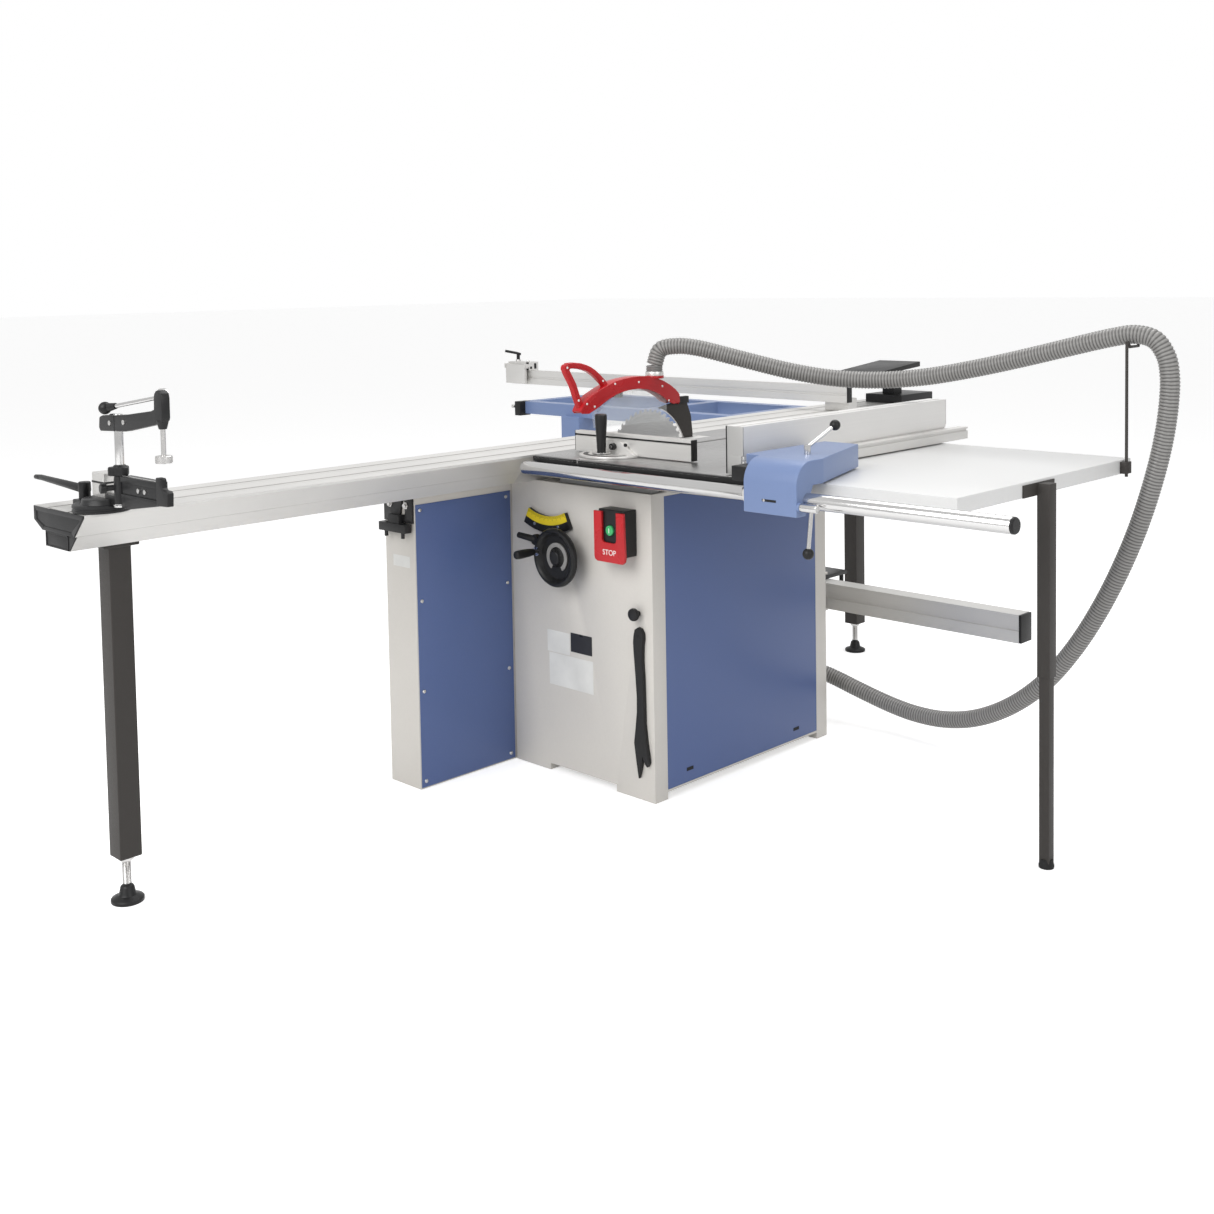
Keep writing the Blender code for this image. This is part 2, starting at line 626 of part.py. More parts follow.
def handwheel():
    hub_y = HANDWHEEL_Y
    wheel = bpy.data.meshes.new("handwheel")
    shape = bmesh.new()
    sections, sides = 28, 8
    centre = Vector((HANDWHEEL_X, hub_y, HANDWHEEL_Z))
    rings = []
    for i in range(sections):
        turn = 2 * math.pi * i / sections
        out = Vector((math.cos(turn), 0.0, math.sin(turn)))
        ring = []
        for j in range(sides):
            spin = 2 * math.pi * j / sides
            offset = out * (HANDWHEEL_RADIUS - 0.010 + 0.010 * math.cos(spin)) + Vector((0, 0.009 * math.sin(spin), 0))
            ring.append(shape.verts.new(centre + offset))
        rings.append(ring)
    for i, ring in enumerate(rings):
        following = rings[(i + 1) % sections]
        for j in range(sides):
            shape.faces.new((ring[j], ring[(j + 1) % sides], following[(j + 1) % sides], following[j]))
    bmesh.ops.recalc_face_normals(shape, faces=shape.faces)
    shape.to_mesh(wheel)
    shape.free()
    rim = add("handwheel", wheel, "black")
    hub = rod("wheel_hub", (HANDWHEEL_X, hub_y - 0.010, HANDWHEEL_Z), (HANDWHEEL_X, -0.0008, HANDWHEEL_Z), 0.026, end_radius=0.018)
    disc = rod("wheel_disc", (HANDWHEEL_X, hub_y - 0.003, HANDWHEEL_Z), (HANDWHEEL_X, hub_y + 0.004, HANDWHEEL_Z), HANDWHEEL_RADIUS - 0.008, sides=28)
    shaft = rod("wheel_shaft", (HANDWHEEL_X, -0.01, HANDWHEEL_Z), (HANDWHEEL_X, 0.055, HANDWHEEL_Z), 0.012)
    join(rim, disc, hub, shaft)
    pivot(rim, (HANDWHEEL_X, hub_y, HANDWHEEL_Z))


CRANK = (HANDWHEEL_X - 0.066, HANDWHEEL_Y - 0.011, HANDWHEEL_Z + 0.010)


def crank_handle():
    x, y, z = CRANK
    grip = rod("crank_handle", (x, y - 0.070, z), (x, y - 0.004, z), 0.012, "black", end_radius=0.008)
    pin = rod("crank_pin", (x, y - 0.010, z), (x, y + 0.0015, z), 0.005, sides=12)
    return pivot(join(grip, pin), CRANK)


LOCK = (-0.395, -0.022, 0.630)


def tilt_lock():
    """Lever that locks the tilt, on a boss fixed to the front of the cabinet."""
    x, y, z = LOCK
    boss = rod("tilt_lock", (x, -GAP, z), (x, y, z), 0.011, "black", sides=16)
    lever = tube("tilt_lock_lever", [(x, y - 0.004, z), (x - 0.020, y - 0.014, z + 0.004), (x - 0.055, y - 0.024, z + 0.012)], 0.006)
    cap = rod("tilt_lock_cap", (x, y + 0.002, z), (x, y - 0.012, z), 0.013, sides=16)
    return pivot(join(boss, cap, lever), LOCK)


def tilt_scale():
    """Curved plate that carries the tilt scale along its upper edge."""
    return plate("tilt_scale", ring_sector((-0.3695, 0.854), 0.160, 0.205, -64, -116, 14), "Y", -0.012, -GAP, "dark")


SWITCH_LOW = (-0.140, -0.045, 0.625)
SWITCH_HIGH = (-0.050, -GAP, 0.743)


def switch():
    housing = box("switch_box", SWITCH_LOW, SWITCH_HIGH, "black")
    well = rod("button_well", (-0.100, SWITCH_LOW[1] - 0.01, 0.690), (-0.100, SWITCH_LOW[1] + 0.007, 0.690), 0.0136, sides=16)
    cut(housing, well)
    front = SWITCH_LOW[1] - 0.0006
    outline = [(-0.150, 0.738), (-0.046, 0.738), (-0.042, 0.620), (-0.050, 0.610), (-0.140, 0.610), (-0.150, 0.620)]
    flap = plate("stop_flap", outline, "Y", front - 0.008, front, "red")
    window = box("flap_window", (-0.122, front - 0.02, 0.660), (-0.072, front + 0.02, 0.745))
    cut(flap, window)
    pivot(flap, (-0.098, front, 0.738))
    button = rod("start_button", (-0.100, front - 0.004, 0.690), (-0.100, front + 0.0040, 0.690), 0.013, "green", sides=16)
    pivot(button, (-0.100, front, 0.690))


def emergency_stop():
    """Mushroom button on the outer face of the wing."""
    x, y, z = STOP_BUTTON
    stem = rod("emergency_stop", (x + 0.002, y, z), (x - 0.014, y, z), 0.011, "red", sides=16)
    head = rod("stop_head", (x - 0.012, y, z), (x - 0.024, y, z), 0.018, end_radius=0.014, sides=20)
    return pivot(join(stem, head), STOP_BUTTON)


STICK_X = -0.0365


def push_stick():
    """Notched stick hanging on a knob screwed to the cabinet."""
    mid, top = STICK_X, 0.446
    outline = [
        (mid - 0.012, top), (mid + 0.010, top), (mid + 0.018, top - 0.020), (mid + 0.014, top - 0.060),
        (mid + 0.020, top - 0.130), (mid + 0.020, top - 0.290), (mid + 0.010, top - 0.340), (mid + 0.026, top - 0.370),
        (mid - 0.010, top - 0.392), (mid - 0.018, top - 0.330), (mid - 0.024, top - 0.200), (mid - 0.016, top - 0.100),
        (mid - 0.020, top - 0.040),
    ]
    stick = plate("push_stick", outline, "Y", -0.0125, -0.0005, "black")
    eye = rod("stick_eye", (mid, -0.03, top - 0.018), (mid, 0.01, top - 0.018), 0.006, sides=12)
    return cut(stick, eye)


# Dust extraction


def dust_chute():
    """Catches the dust under the blade and leads it out through the back of the cabinet."""
    back = CABINET_DEPTH
    chute = plate(
        "dust_chute",
        [(0.120, 0.440), (0.560, 0.440), (0.640, 0.300), (0.700, 0.190), (0.700, 0.108), (0.560, 0.108), (0.300, 0.200)],
        "X", PORT_X - 0.110, PORT_X + 0.050, "dark",
    )
    hollow = plate(
        "chute_hollow",
        [(0.124, 0.460), (0.556, 0.460), (0.556, 0.440), (0.636, 0.298), (0.696, 0.188), (0.696, 0.112), (0.562, 0.112), (0.304, 0.203), (0.124, 0.440)],
        "X", PORT_X - 0.107, PORT_X + 0.047,
    )
    pipe = rod("chute_pipe", (PORT_X, 0.694, PORT_Z), (PORT_X, back + 0.045, PORT_Z), HOSE_RADIUS + 0.003)
    bore = rod("chute_bore", (PORT_X, 0.680, PORT_Z), (PORT_X, back + 0.050, PORT_Z), HOSE_RADIUS - 0.002)
    floor = box("chute_foot", (PORT_X - 0.060, 0.600, CABINET_FOOT + CABINET_WALL + GAP), (PORT_X, 0.640, 0.112))
    return join(cut(join(chute, pipe), hollow, bore), floor)


# Centreline of the hose, from the guard over the hook and down to the port at the back.
HOSE_ROUTE = [
    (-0.285, 0.3300, 1.0809), (-0.285, 0.3300, 1.1000), (-0.268, 0.3430, 1.1250), (-0.222, 0.3750, 1.1330),
    (-0.170, 0.4130, 1.1220), (-0.080, 0.4800, 1.0920), (0.020, 0.5450, 1.0620), (0.120, 0.6000, 1.0430),
    (0.230, 0.6500, 1.0380), (0.350, 0.6900, 1.0480), (0.480, 0.7150, 1.0720), (0.610, 0.7300, 1.1020),
    (0.730, 0.7400, 1.1320), (0.820, 0.7450, 1.1540), (0.890, 0.7480, 1.1670), (0.935, 0.7500, 1.1620),
    (0.965, 0.7520, 1.1350), (0.980, 0.7550, 1.0850), (0.978, 0.7600, 1.0100), (0.962, 0.7670, 0.9150),
    (0.935, 0.7750, 0.8150), (0.895, 0.7850, 0.7000), (0.845, 0.7950, 0.5850), (0.785, 0.8050, 0.4700),
    (0.715, 0.8150, 0.3600), (0.630, 0.8250, 0.2550), (0.530, 0.8350, 0.1700), (0.420, 0.8450, 0.1100),
    (0.310, 0.8550, 0.0800), (0.200, 0.8650, 0.0740), (0.100, 0.8700, 0.0860), (0.010, 0.8650, 0.1080),
    (-0.065, 0.8580, 0.1290), (-0.122, 0.8350, 0.1470), (-0.150, 0.8050, 0.1500), (-0.150, 0.7754, 0.1500),
]


def smooth(points, spacing):
    """Points at an even spacing on a Catmull-Rom curve through the given ones."""
    places = [Vector(p) for p in points]
    ends = [places[0] * 2 - places[1]] + places + [places[-1] * 2 - places[-2]]
    fine = []
    for i in range(1, len(ends) - 2):
        a, b, c, d = ends[i - 1:i + 3]
        for step in range(24):
            t = step / 24
            fine.append(
                0.5 * (2 * b + (c - a) * t + (2 * a - 5 * b + 4 * c - d) * t ** 2 + (3 * b - a - 3 * c + d) * t ** 3)
            )
    fine.append(places[-1])
    length = sum((q - p).length for p, q in zip(fine, fine[1:]))
    count = round(length / spacing)
    even, run, target = [fine[0]], 0.0, length / count
    for p, q in zip(fine, fine[1:]):
        step = (q - p).length
        while run + step >= target and len(even) < count:
            even.append(p.lerp(q, (target - run) / step))
            target += length / count
        run += step
    return even + [fine[-1]]


def dust_hose():
    middle = smooth(HOSE_ROUTE[1:-1], 0.060)
    return tube("dust_hose", [HOSE_ROUTE[0], *middle, HOSE_ROUTE[-1]], HOSE_RADIUS, "hose", resolution=2)


def hose_hook():
    """Rod on the back corner of the extension table, bent over to carry the hose."""
    x, y = EXTENSION_RIGHT + 0.010, EXTENSION_BACK - 0.045
    post = tube(
        "hose_hook",
        [(x, y, TABLE_TOP - 0.040), (x, y, 1.150), (x, y + 0.006, 1.150), (x, y + 0.016, 1.1385), (x, y + 0.062, 1.1385), (x, y + 0.072, 1.175)],
        0.004, "dark",
    )
    foot_plate = box("hook_plate", (EXTENSION_RIGHT + GAP, y - 0.014, TABLE_TOP - 0.032), (x + 0.006, y + 0.014, TABLE_TOP - 0.004))
    return join(post, foot_plate)


# Blade unit


def tilt_cradle():
    """Cast frame that hangs on the trunnion ways and carries everything that tilts."""
    pieces = []
    for i, y in enumerate((TRUNNION_FRONT, TRUNNION_BACK)):
        inward = 1 if i == 0 else -1
        inner_face = y + (TRUNNION_THICKNESS + 0.0085 if i == 0 else -0.0085)
        low, high = sorted((inner_face, y + (0.0 if i == 0 else TRUNNION_THICKNESS)))
        shoe = ring_sector((BLADE_X, TABLE_TOP), TRUNNION_OUTER + PLAY, TRUNNION_OUTER + 0.024, -100, -60, 10)
        pieces.append(plate(f"cradle_shoe_{i}", shoe, "Y", low, high))
        plane = y + (TRUNNION_THICKNESS + PLAY if i == 0 else -PLAY)
        low, high = sorted((plane, plane + 0.008 * inward))
        outline = [
            (BLADE_X - 0.030, TABLE_TOP - 0.165), (BLADE_X + 0.050, TABLE_TOP - 0.150), (WEB_X + 0.012, TABLE_TOP - 0.120),
            (WEB_X + 0.012, TABLE_TOP - 0.270), (BLADE_X + 0.030, TABLE_TOP - 0.270), (BLADE_X - 0.030, TABLE_TOP - 0.235),
        ]
        pieces.append(plate(f"cradle_end_{i}", outline, "Y", low, high))
    front = TRUNNION_FRONT + TRUNNION_THICKNESS + PLAY
    back = TRUNNION_BACK - PLAY
    web = box("tilt_cradle", (WEB_X, front, TABLE_TOP - 0.330), (WEB_X + 0.012, back, TABLE_TOP - 0.030), "iron")
    window = box("cradle_window", (WEB_X - 0.01, BLADE_Y - 0.050, ARBOR_Z - 0.245), (WEB_X + 0.02, MOTOR_Y + 0.045, ARBOR_Z + 0.024))
    holder = box("splitter_seat", (BLADE_X - 0.014, 0.470, TABLE_TOP - 0.230), (BLADE_X + 0.014, back - 0.004, TABLE_TOP - 0.160))
    slit = box("splitter_slit", (BLADE_X - 0.0015, 0.45, TABLE_TOP - 0.222), (BLADE_X + 0.0015, 0.505, TABLE_TOP - 0.15))
    cut(web, window)
    join(web, *pieces, holder)
    cut(web, slit)
    return pivot(web, (BLADE_X, 0.0, TABLE_TOP))


def rise_slide():
    """Plate that slides on the cradle web, with the arbor housing and the motor seat."""
    low_y, high_y = BLADE_Y - 0.095, MOTOR_Y + 0.085
    back_plate = box("rise_slide", (RISE_PLATE_X, low_y, ARBOR_Z - 0.165), (RISE_PLATE_X + 0.012, high_y, ARBOR_Z + 0.034), "iron")
    housing = rod("arbor_housing", (BEARING_X, BLADE_Y, ARBOR_Z), (RISE_PLATE_X + 0.004, BLADE_Y, ARBOR_Z), 0.030, sides=24)
    bore = rod("arbor_bore", (BEARING_X - 0.01, BLADE_Y, ARBOR_Z), (RISE_PLATE_X + 0.03, BLADE_Y, ARBOR_Z), ARBOR_RADIUS + PLAY)
    nose = rod("motor_bore", (RISE_PLATE_X - 0.01, MOTOR_Y, MOTOR_Z), (RISE_PLATE_X + 0.03, MOTOR_Y, MOTOR_Z), 0.0135)
    return pivot(cut(join(back_plate, housing), bore, nose), (BLADE_X, BLADE_Y, ARBOR_Z))


def arbor():
    shaft_end = PULLEY_X + PULLEY_WIDTH
    shaft = rod("arbor", (BLADE_X - 0.018, BLADE_Y, ARBOR_Z), (shaft_end, BLADE_Y, ARBOR_Z), ARBOR_RADIUS - PLAY, "steel", sides=24)
    half = BLADE_THICKNESS / 2 + GAP
    flange = rod("inner_flange", (BLADE_X + half, BLADE_Y, ARBOR_Z), (BEARING_X - 0.004, BLADE_Y, ARBOR_Z), 0.032, sides=24)
    outer = rod("outer_flange", (BLADE_X - half - 0.006, BLADE_Y, ARBOR_Z), (BLADE_X - half, BLADE_Y, ARBOR_Z), 0.030, sides=24)
    pulley = rod("arbor_pulley", (PULLEY_X, BLADE_Y, ARBOR_Z), (shaft_end, BLADE_Y, ARBOR_Z), 0.030, sides=24)
    return pivot(join(shaft, flange, outer, pulley), (BLADE_X, BLADE_Y, ARBOR_Z))


def blade():
    """Saw disc with teeth: each tooth is a step out and a slope back."""
    teeth, points = 48, []
    for i in range(teeth):
        turn = 360 / teeth
        start = i * turn
        for share, radius in ((0.0, BLADE_RADIUS), (0.30, BLADE_RADIUS - 0.0012), (0.55, BLADE_RADIUS - 0.008), (0.98, BLADE_RADIUS - 0.008)):
            angle = math.radians(start + share * turn)
            points.append((BLADE_Y + radius * math.cos(angle), ARBOR_Z + radius * math.sin(angle)))
    half = BLADE_THICKNESS / 2
    disc = plate("blade", points, "X", BLADE_X - half, BLADE_X + half, "steel")
    bore = rod("blade_bore", (BLADE_X - 0.01, BLADE_Y, ARBOR_Z), (BLADE_X + 0.01, BLADE_Y, ARBOR_Z), ARBOR_RADIUS)
    return pivot(cut(disc, bore), (BLADE_X, BLADE_Y, ARBOR_Z))


def motor():
    body = rod("motor", (BEARING_X, MOTOR_Y, MOTOR_Z), (RISE_PLATE_X - GAP, MOTOR_Y, MOTOR_Z), MOTOR_RADIUS, "dark", sides=24)
    terminal = box("motor_terminal_box", (BEARING_X + 0.030, MOTOR_Y + 0.050, MOTOR_Z - 0.035), (BEARING_X + 0.110, MOTOR_Y + 0.082, MOTOR_Z + 0.035))
    bore = rod("motor_shaft_bore", (RISE_PLATE_X - 0.05, MOTOR_Y, MOTOR_Z), (RISE_PLATE_X + 0.05, MOTOR_Y, MOTOR_Z), 0.0125)
    return pivot(cut(join(body, terminal), bore), (BLADE_X, MOTOR_Y, MOTOR_Z))


def motor_pulley():
    wheel = rod("motor_pulley", (PULLEY_X, MOTOR_Y, MOTOR_Z), (PULLEY_X + PULLEY_WIDTH, MOTOR_Y, MOTOR_Z), 0.036, "iron", sides=24)
    shaft = rod("motor_shaft", (RISE_PLATE_X - 0.045, MOTOR_Y, MOTOR_Z), (PULLEY_X + 0.004, MOTOR_Y, MOTOR_Z), 0.012, sides=16)
    return pivot(join(wheel, shaft), (PULLEY_X, MOTOR_Y, MOTOR_Z))


def drive_belt():
    """Flat belt round both pulleys: an outline of two arcs and two straight runs."""
    low, high = PULLEY_X + 0.003, PULLEY_X + PULLEY_WIDTH - 0.003

    def outline(offset):
        ahead = math.degrees(math.atan2(MOTOR_Z - ARBOR_Z, MOTOR_Y - BLADE_Y))
        reach = math.hypot(MOTOR_Z - ARBOR_Z, MOTOR_Y - BLADE_Y)
        lean = math.degrees(math.asin((0.036 - 0.030) / reach))
        at_motor = arc((MOTOR_Y, MOTOR_Z), 0.036 + offset, ahead - 90 - lean, ahead + 90 + lean, 14)
        at_arbor = arc((BLADE_Y, ARBOR_Z), 0.030 + offset, ahead + 90 + lean, ahead + 270 - lean, 12)
        return at_motor + at_arbor

    belt = plate("drive_belt", outline(0.0045), "X", low, high, "black")
    hole = plate("belt_hole", outline(0.0006), "X", low - 0.01, high + 0.01)
    return pivot(cut(belt, hole), (PULLEY_X, BLADE_Y, ARBOR_Z))


def splitter():
    """Riving knife: its front edge follows the blade, with 6 mm of room."""
    inner = BLADE_RADIUS + 0.006
    front = BLADE_Y + inner
    edge = arc((BLADE_Y, ARBOR_Z), inner, 0, 52, 8)
    outline = [(front, TABLE_TOP - 0.221)] + edge + [(0.430, 0.986), (0.462, 0.986), (0.480, 0.940), (0.4865, 0.880), (0.4865, TABLE_TOP - 0.221)]
    knife = plate("splitter", outline, "X", BLADE_X - 0.0012, BLADE_X + 0.0012, "dark")
    return pivot(knife, (BLADE_X, 0.0, TABLE_TOP))


GUARD_CENTRE = (0.263, 0.768)


def guard_shell():
    """Red hood over the blade, with the loop handle at its nose."""
    hood = ring_sector(GUARD_CENTRE, 0.256, 0.281, 133, 44, 16)
    shell = plate("guard_shell", hood, "X", BLADE_X - 0.017, BLADE_X + 0.017, "red")
    cheek = plate("guard_cheek", [(0.395, 0.960), (0.395, 1.000), (0.460, 0.962), (0.468, 0.948)], "X", BLADE_X - 0.017, BLADE_X + 0.017)
    hollow = plate(
        "guard_hollow", ring_sector(GUARD_CENTRE, 0.200, 0.2765, 131, 62, 14), "X", BLADE_X - 0.0135, BLADE_X + 0.0135
    )
    seat = box("guard_slit", (BLADE_X - 0.0015, 0.380, 0.930), (BLADE_X + 0.0015, 0.470, 0.9863))
    loop = [
        ((0.072, 0.962), (-0.008, 1.090)), ((-0.008, 1.090), (0.070, 1.086)), ((0.070, 1.086), (0.160, 1.036)),
    ]
    bars = []
    for i, (start, end) in enumerate(loop):
        bars.append(
            tube(f"guard_handle_{i}", [(BLADE_X, *start), (BLADE_X, *end)], 0.0085 + 0.0002 * i, resolution=2)
        )
    knobs = [ball(f"guard_corner_{i}", (BLADE_X, y, z), 0.0098) for i, (y, z) in enumerate(((-0.008, 1.090), (0.070, 1.086), (0.072, 0.962)))]
    outlet = rod("guard_outlet", (BLADE_X, 0.330, 1.030), (BLADE_X, 0.330, 1.0797), HOSE_RADIUS - 0.002, sides=20)
    bore = rod("outlet_bore", (BLADE_X, 0.330, 1.020), (BLADE_X, 0.330, 1.090), 0.0120, sides=16)
    join(shell, cheek, outlet, *bars, *knobs)
    cut(shell, hollow, seat, bore)
    return pivot(shell, (BLADE_X, 0.0, TABLE_TOP))


def guard_window():
    """Clear cover under the hood, open below for the blade."""
    outline = arc(GUARD_CENTRE, 0.262, 130, 68, 10) + [(0.366, 0.925), (0.100, 0.925)]
    cover = plate("guard_window", outline, "X", BLADE_X - 0.0131, BLADE_X + 0.0131, "clear")
    inside = arc(GUARD_CENTRE, 0.2600, 128, 66, 10) + [(0.400, 0.900), (0.104, 0.900)]
    hollow = plate("window_hollow", inside, "X", BLADE_X - 0.0111, BLADE_X + 0.0111)
    return pivot(cut(cover, hollow), (BLADE_X, 0.0, TABLE_TOP))


# Clamp and shoe on the sliding table

CLAMP_COLUMN_X = -0.292


def clamp_base():
    """Round swivel base, stub fence, small block and the column, bolted together."""
    deck = TABLE_TOP + GAP
    disc = rod("clamp_base", (CLAMP_X, CLAMP_Y, deck), (CLAMP_X, CLAMP_Y, deck + 0.016), 0.0585, "black", sides=32)
    step = rod("clamp_step", (CLAMP_X, CLAMP_Y, deck + 0.014), (CLAMP_X, CLAMP_Y, deck + 0.028), 0.044, end_radius=0.040, sides=28)
    block = box("clamp_block", (-0.412, CLAMP_Y - 0.020, deck + 0.010), (-0.356, CLAMP_Y + 0.026, deck + 0.078))
    stub = box("stub_fence", (-0.330, CLAMP_Y - 0.018, deck + 0.004), (-0.140, CLAMP_Y + 0.022, deck + 0.080))
    end = box("stub_end", (-0.142, CLAMP_Y - 0.030, deck + 0.012), (-0.085, CLAMP_Y - 0.008, deck + 0.070))
    column = rod("clamp_column", (CLAMP_COLUMN_X, CLAMP_Y, deck + 0.070), (CLAMP_COLUMN_X, CLAMP_Y, 1.075), COLUMN_RADIUS, sides=16)
    collar = rod("clamp_collar", (CLAMP_COLUMN_X, CLAMP_Y, deck + 0.075), (CLAMP_COLUMN_X, CLAMP_Y, deck + 0.094), 0.024, sides=12)
    lever = tube(
        "clamp_lever",
        [(CLAMP_X - 0.045, CLAMP_Y, deck + 0.012), (CLAMP_X - 0.100, CLAMP_Y, deck + 0.018), (CLAMP_X - 0.200, CLAMP_Y, deck + 0.036), (CLAMP_X - 0.310, CLAMP_Y, deck + 0.044)],
        0.0065,
    )
    return join(disc, step, block, stub, end, column, collar, lever)


ARM_Z = 1.045
SPINDLE_X = -0.113
CAM = (-0.148, CLAMP_Y, 1.100)


def clamp_arm():
    bore_radius = COLUMN_RADIUS + PLAY
    outline = [(-0.384, 1.022), (-0.250, 1.022), (-0.180, 1.062), (-0.086, 1.050), (-0.086, 1.090), (-0.180, 1.086), (-0.270, 1.060), (-0.384, 1.052)]
    arm = plate("clamp_arm", outline, "Y", CLAMP_Y - 0.011, CLAMP_Y + 0.011, "black")
    boss = rod("arm_boss", (CLAMP_COLUMN_X, CLAMP_Y, 1.022), (CLAMP_COLUMN_X, CLAMP_Y, 1.058), 0.020, sides=20)
    nose = rod("arm_nose", (SPINDLE_X, CLAMP_Y, 1.048), (SPINDLE_X, CLAMP_Y, 1.086), 0.017, sides=20)
    ears = box("cam_ears", (CAM[0] - 0.012, CLAMP_Y - 0.0095, 1.070), (CAM[0] + 0.012, CLAMP_Y + 0.0095, 1.094))
    bore = rod("arm_bore", (CLAMP_COLUMN_X, CLAMP_Y, 0.98), (CLAMP_COLUMN_X, CLAMP_Y, 1.12), bore_radius, sides=16)
    hole = rod("spindle_bore", (SPINDLE_X, CLAMP_Y, 1.00), (SPINDLE_X, CLAMP_Y, 1.10), 0.0065, sides=16)
    return pivot(cut(join(arm, boss, nose, ears), bore, hole), (CLAMP_COLUMN_X, CLAMP_Y, ARM_Z))


def clamp_spindle():
    stem = rod("clamp_spindle", (SPINDLE_X, CLAMP_Y, 0.985), (SPINDLE_X, CLAMP_Y, 1.0905), 0.0060, "chrome", sides=16)
    pad = rod("clamp_pad", (SPINDLE_X, CLAMP_Y, 0.976), (SPINDLE_X, CLAMP_Y, 0.990), 0.019, end_radius=0.014, sides=20)
    return pivot(join(stem, pad), (SPINDLE_X, CLAMP_Y, 0.985))


def clamp_cam():
    x, y, z = CAM
    cam = rod("clamp_cam", (x, y - 0.010, z + 0.006), (x, y + 0.010, z + 0.006), 0.0115, "chrome", sides=18)
    side = y - 0.0240  # the handle passes the column on the operator's side
    handle = tube("cam_handle", [(x - 0.006, y - 0.006, z + 0.010), (x - 0.060, side, z + 0.002), (x - 0.140, side, z - 0.014)], 0.0045)
    knob = ball("cam_ball", (x - 0.150, side, z - 0.016), 0.0125)
    return pivot(join(cam, handle, knob), (x, y, z + 0.006))


SHOE_Y = 1.640


def edging_shoe():
    """Shoe that holds a board down at the far end of the sliding table."""
    deck = TABLE_TOP + GAP
    base = box("edging_shoe", (-0.500, SHOE_Y + 0.030, deck), (-0.350, SHOE_Y + 0.230, deck + 0.030), "black")
    post = box("shoe_post", (-0.450, SHOE_Y + 0.060, deck + 0.020), (-0.400, SHOE_Y + 0.110, 0.990))
    jaw = plate(
        "shoe_jaw", [(SHOE_Y - 0.130, 0.972), (SHOE_Y + 0.150, 0.992), (SHOE_Y + 0.150, 1.010), (SHOE_Y - 0.130, 0.984)],
        "X", -0.520, -0.350,
    )
    return join(base, post, jaw)


# Outrigger


def outrigger_frame():
    top, low = OUTRIGGER_TOP, OUTRIGGER_TOP - OUTRIGGER_BEAM
    right = CARRIAGE_LEFT - GAP
    beam, left = OUTRIGGER_BEAM, OUTRIGGER_LEFT
    front, back = OUTRIGGER_FRONT, OUTRIGGER_BACK
    frame = box("outrigger_frame", (left, front, low), (right, back, top), "light_blue")
    windows = []
    middle = -1.000
    for i, (a, b) in enumerate(((left + beam, middle), (middle + beam, right - beam))):
        windows.append(box(f"outrigger_window_{i}", (a, front + beam, low - 0.01), (b, back - beam, top + 0.01)))
    cut(frame, *windows)
    side = COLUMN_SIDE / 2
    column = box("outrigger_column", (COLUMN_X - side, ARM_Y - side, ARM_BOTTOM + ARM_HEIGHT + 0.010), (COLUMN_X + side, ARM_Y + side, low + 0.004))
    pin = rod("column_pin", (COLUMN_X, ARM_Y, ARM_BOTTOM - 0.012), (COLUMN_X, ARM_Y, ARM_BOTTOM + ARM_HEIGHT + 0.020), 0.012, sides=16)
    rest = rod("column_pin_head", (COLUMN_X, ARM_Y, ARM_BOTTOM - 0.018), (COLUMN_X, ARM_Y, ARM_BOTTOM - 0.004), 0.020, sides=16)
    ears = [
        box(f"roller_ear_{i}", (left - 0.034, y, low + 0.004), (left + 0.004, y + 0.008, top - 0.004))
        for i, y in enumerate((front + 0.004, back - 0.012))
    ]
    return join(frame, column, pin, rest, *ears)


ROLLER_X = OUTRIGGER_LEFT - 0.018
ROLLER_Z = OUTRIGGER_TOP - 0.019


def outrigger_roller():
    low, high = OUTRIGGER_FRONT + 0.012 + PLAY, OUTRIGGER_BACK - 0.012 - PLAY
    roller = rod("outrigger_roller", (ROLLER_X, low, ROLLER_Z), (ROLLER_X, high, ROLLER_Z), 0.0165, "aluminium", sides=20)
    return pivot(roller, (ROLLER_X, low, ROLLER_Z))


def crosscut_fence():
    front = CROSSCUT_Y - CROSSCUT_THICKNESS / 2
    back = CROSSCUT_Y + CROSSCUT_THICKNESS / 2
    low, high = CROSSCUT_BOTTOM, CROSSCUT_BOTTOM + CROSSCUT_HEIGHT
    fence = box("crosscut_fence", (CROSSCUT_LEFT, front, low), (CROSSCUT_RIGHT, back, high), "aluminium")
    groove = box("crosscut_groove", (CROSSCUT_LEFT - 0.01, front - 0.01, low + 0.024), (CROSSCUT_RIGHT + 0.01, front + 0.004, low + 0.032))
    top_slot = box("crosscut_top_slot", (CROSSCUT_LEFT - 0.01, CROSSCUT_Y - 0.004, high - 0.006), (CROSSCUT_RIGHT + 0.01, CROSSCUT_Y + 0.004, high + 0.01))
    cut(fence, groove, top_slot)
    shoe = box("crosscut_shoe", (-0.440, back - 0.006, TABLE_TOP + GAP), (-0.345, back + 0.050, low + 0.012))
    prop = box("crosscut_prop", (-1.450, front + 0.002, OUTRIGGER_TOP + GAP), (-1.380, back - 0.002, low + 0.006))
    knob = rod("crosscut_knob", (-0.372, back + 0.026, low), (-0.372, back + 0.026, low + 0.050), 0.008, sides=12)
    grip = box("crosscut_grip", (-0.392, back + 0.018, low + 0.044), (-0.346, back + 0.034, low + 0.064))
    return pivot(join(fence, shoe, prop, knob, grip), (-0.372, back + 0.026, low))


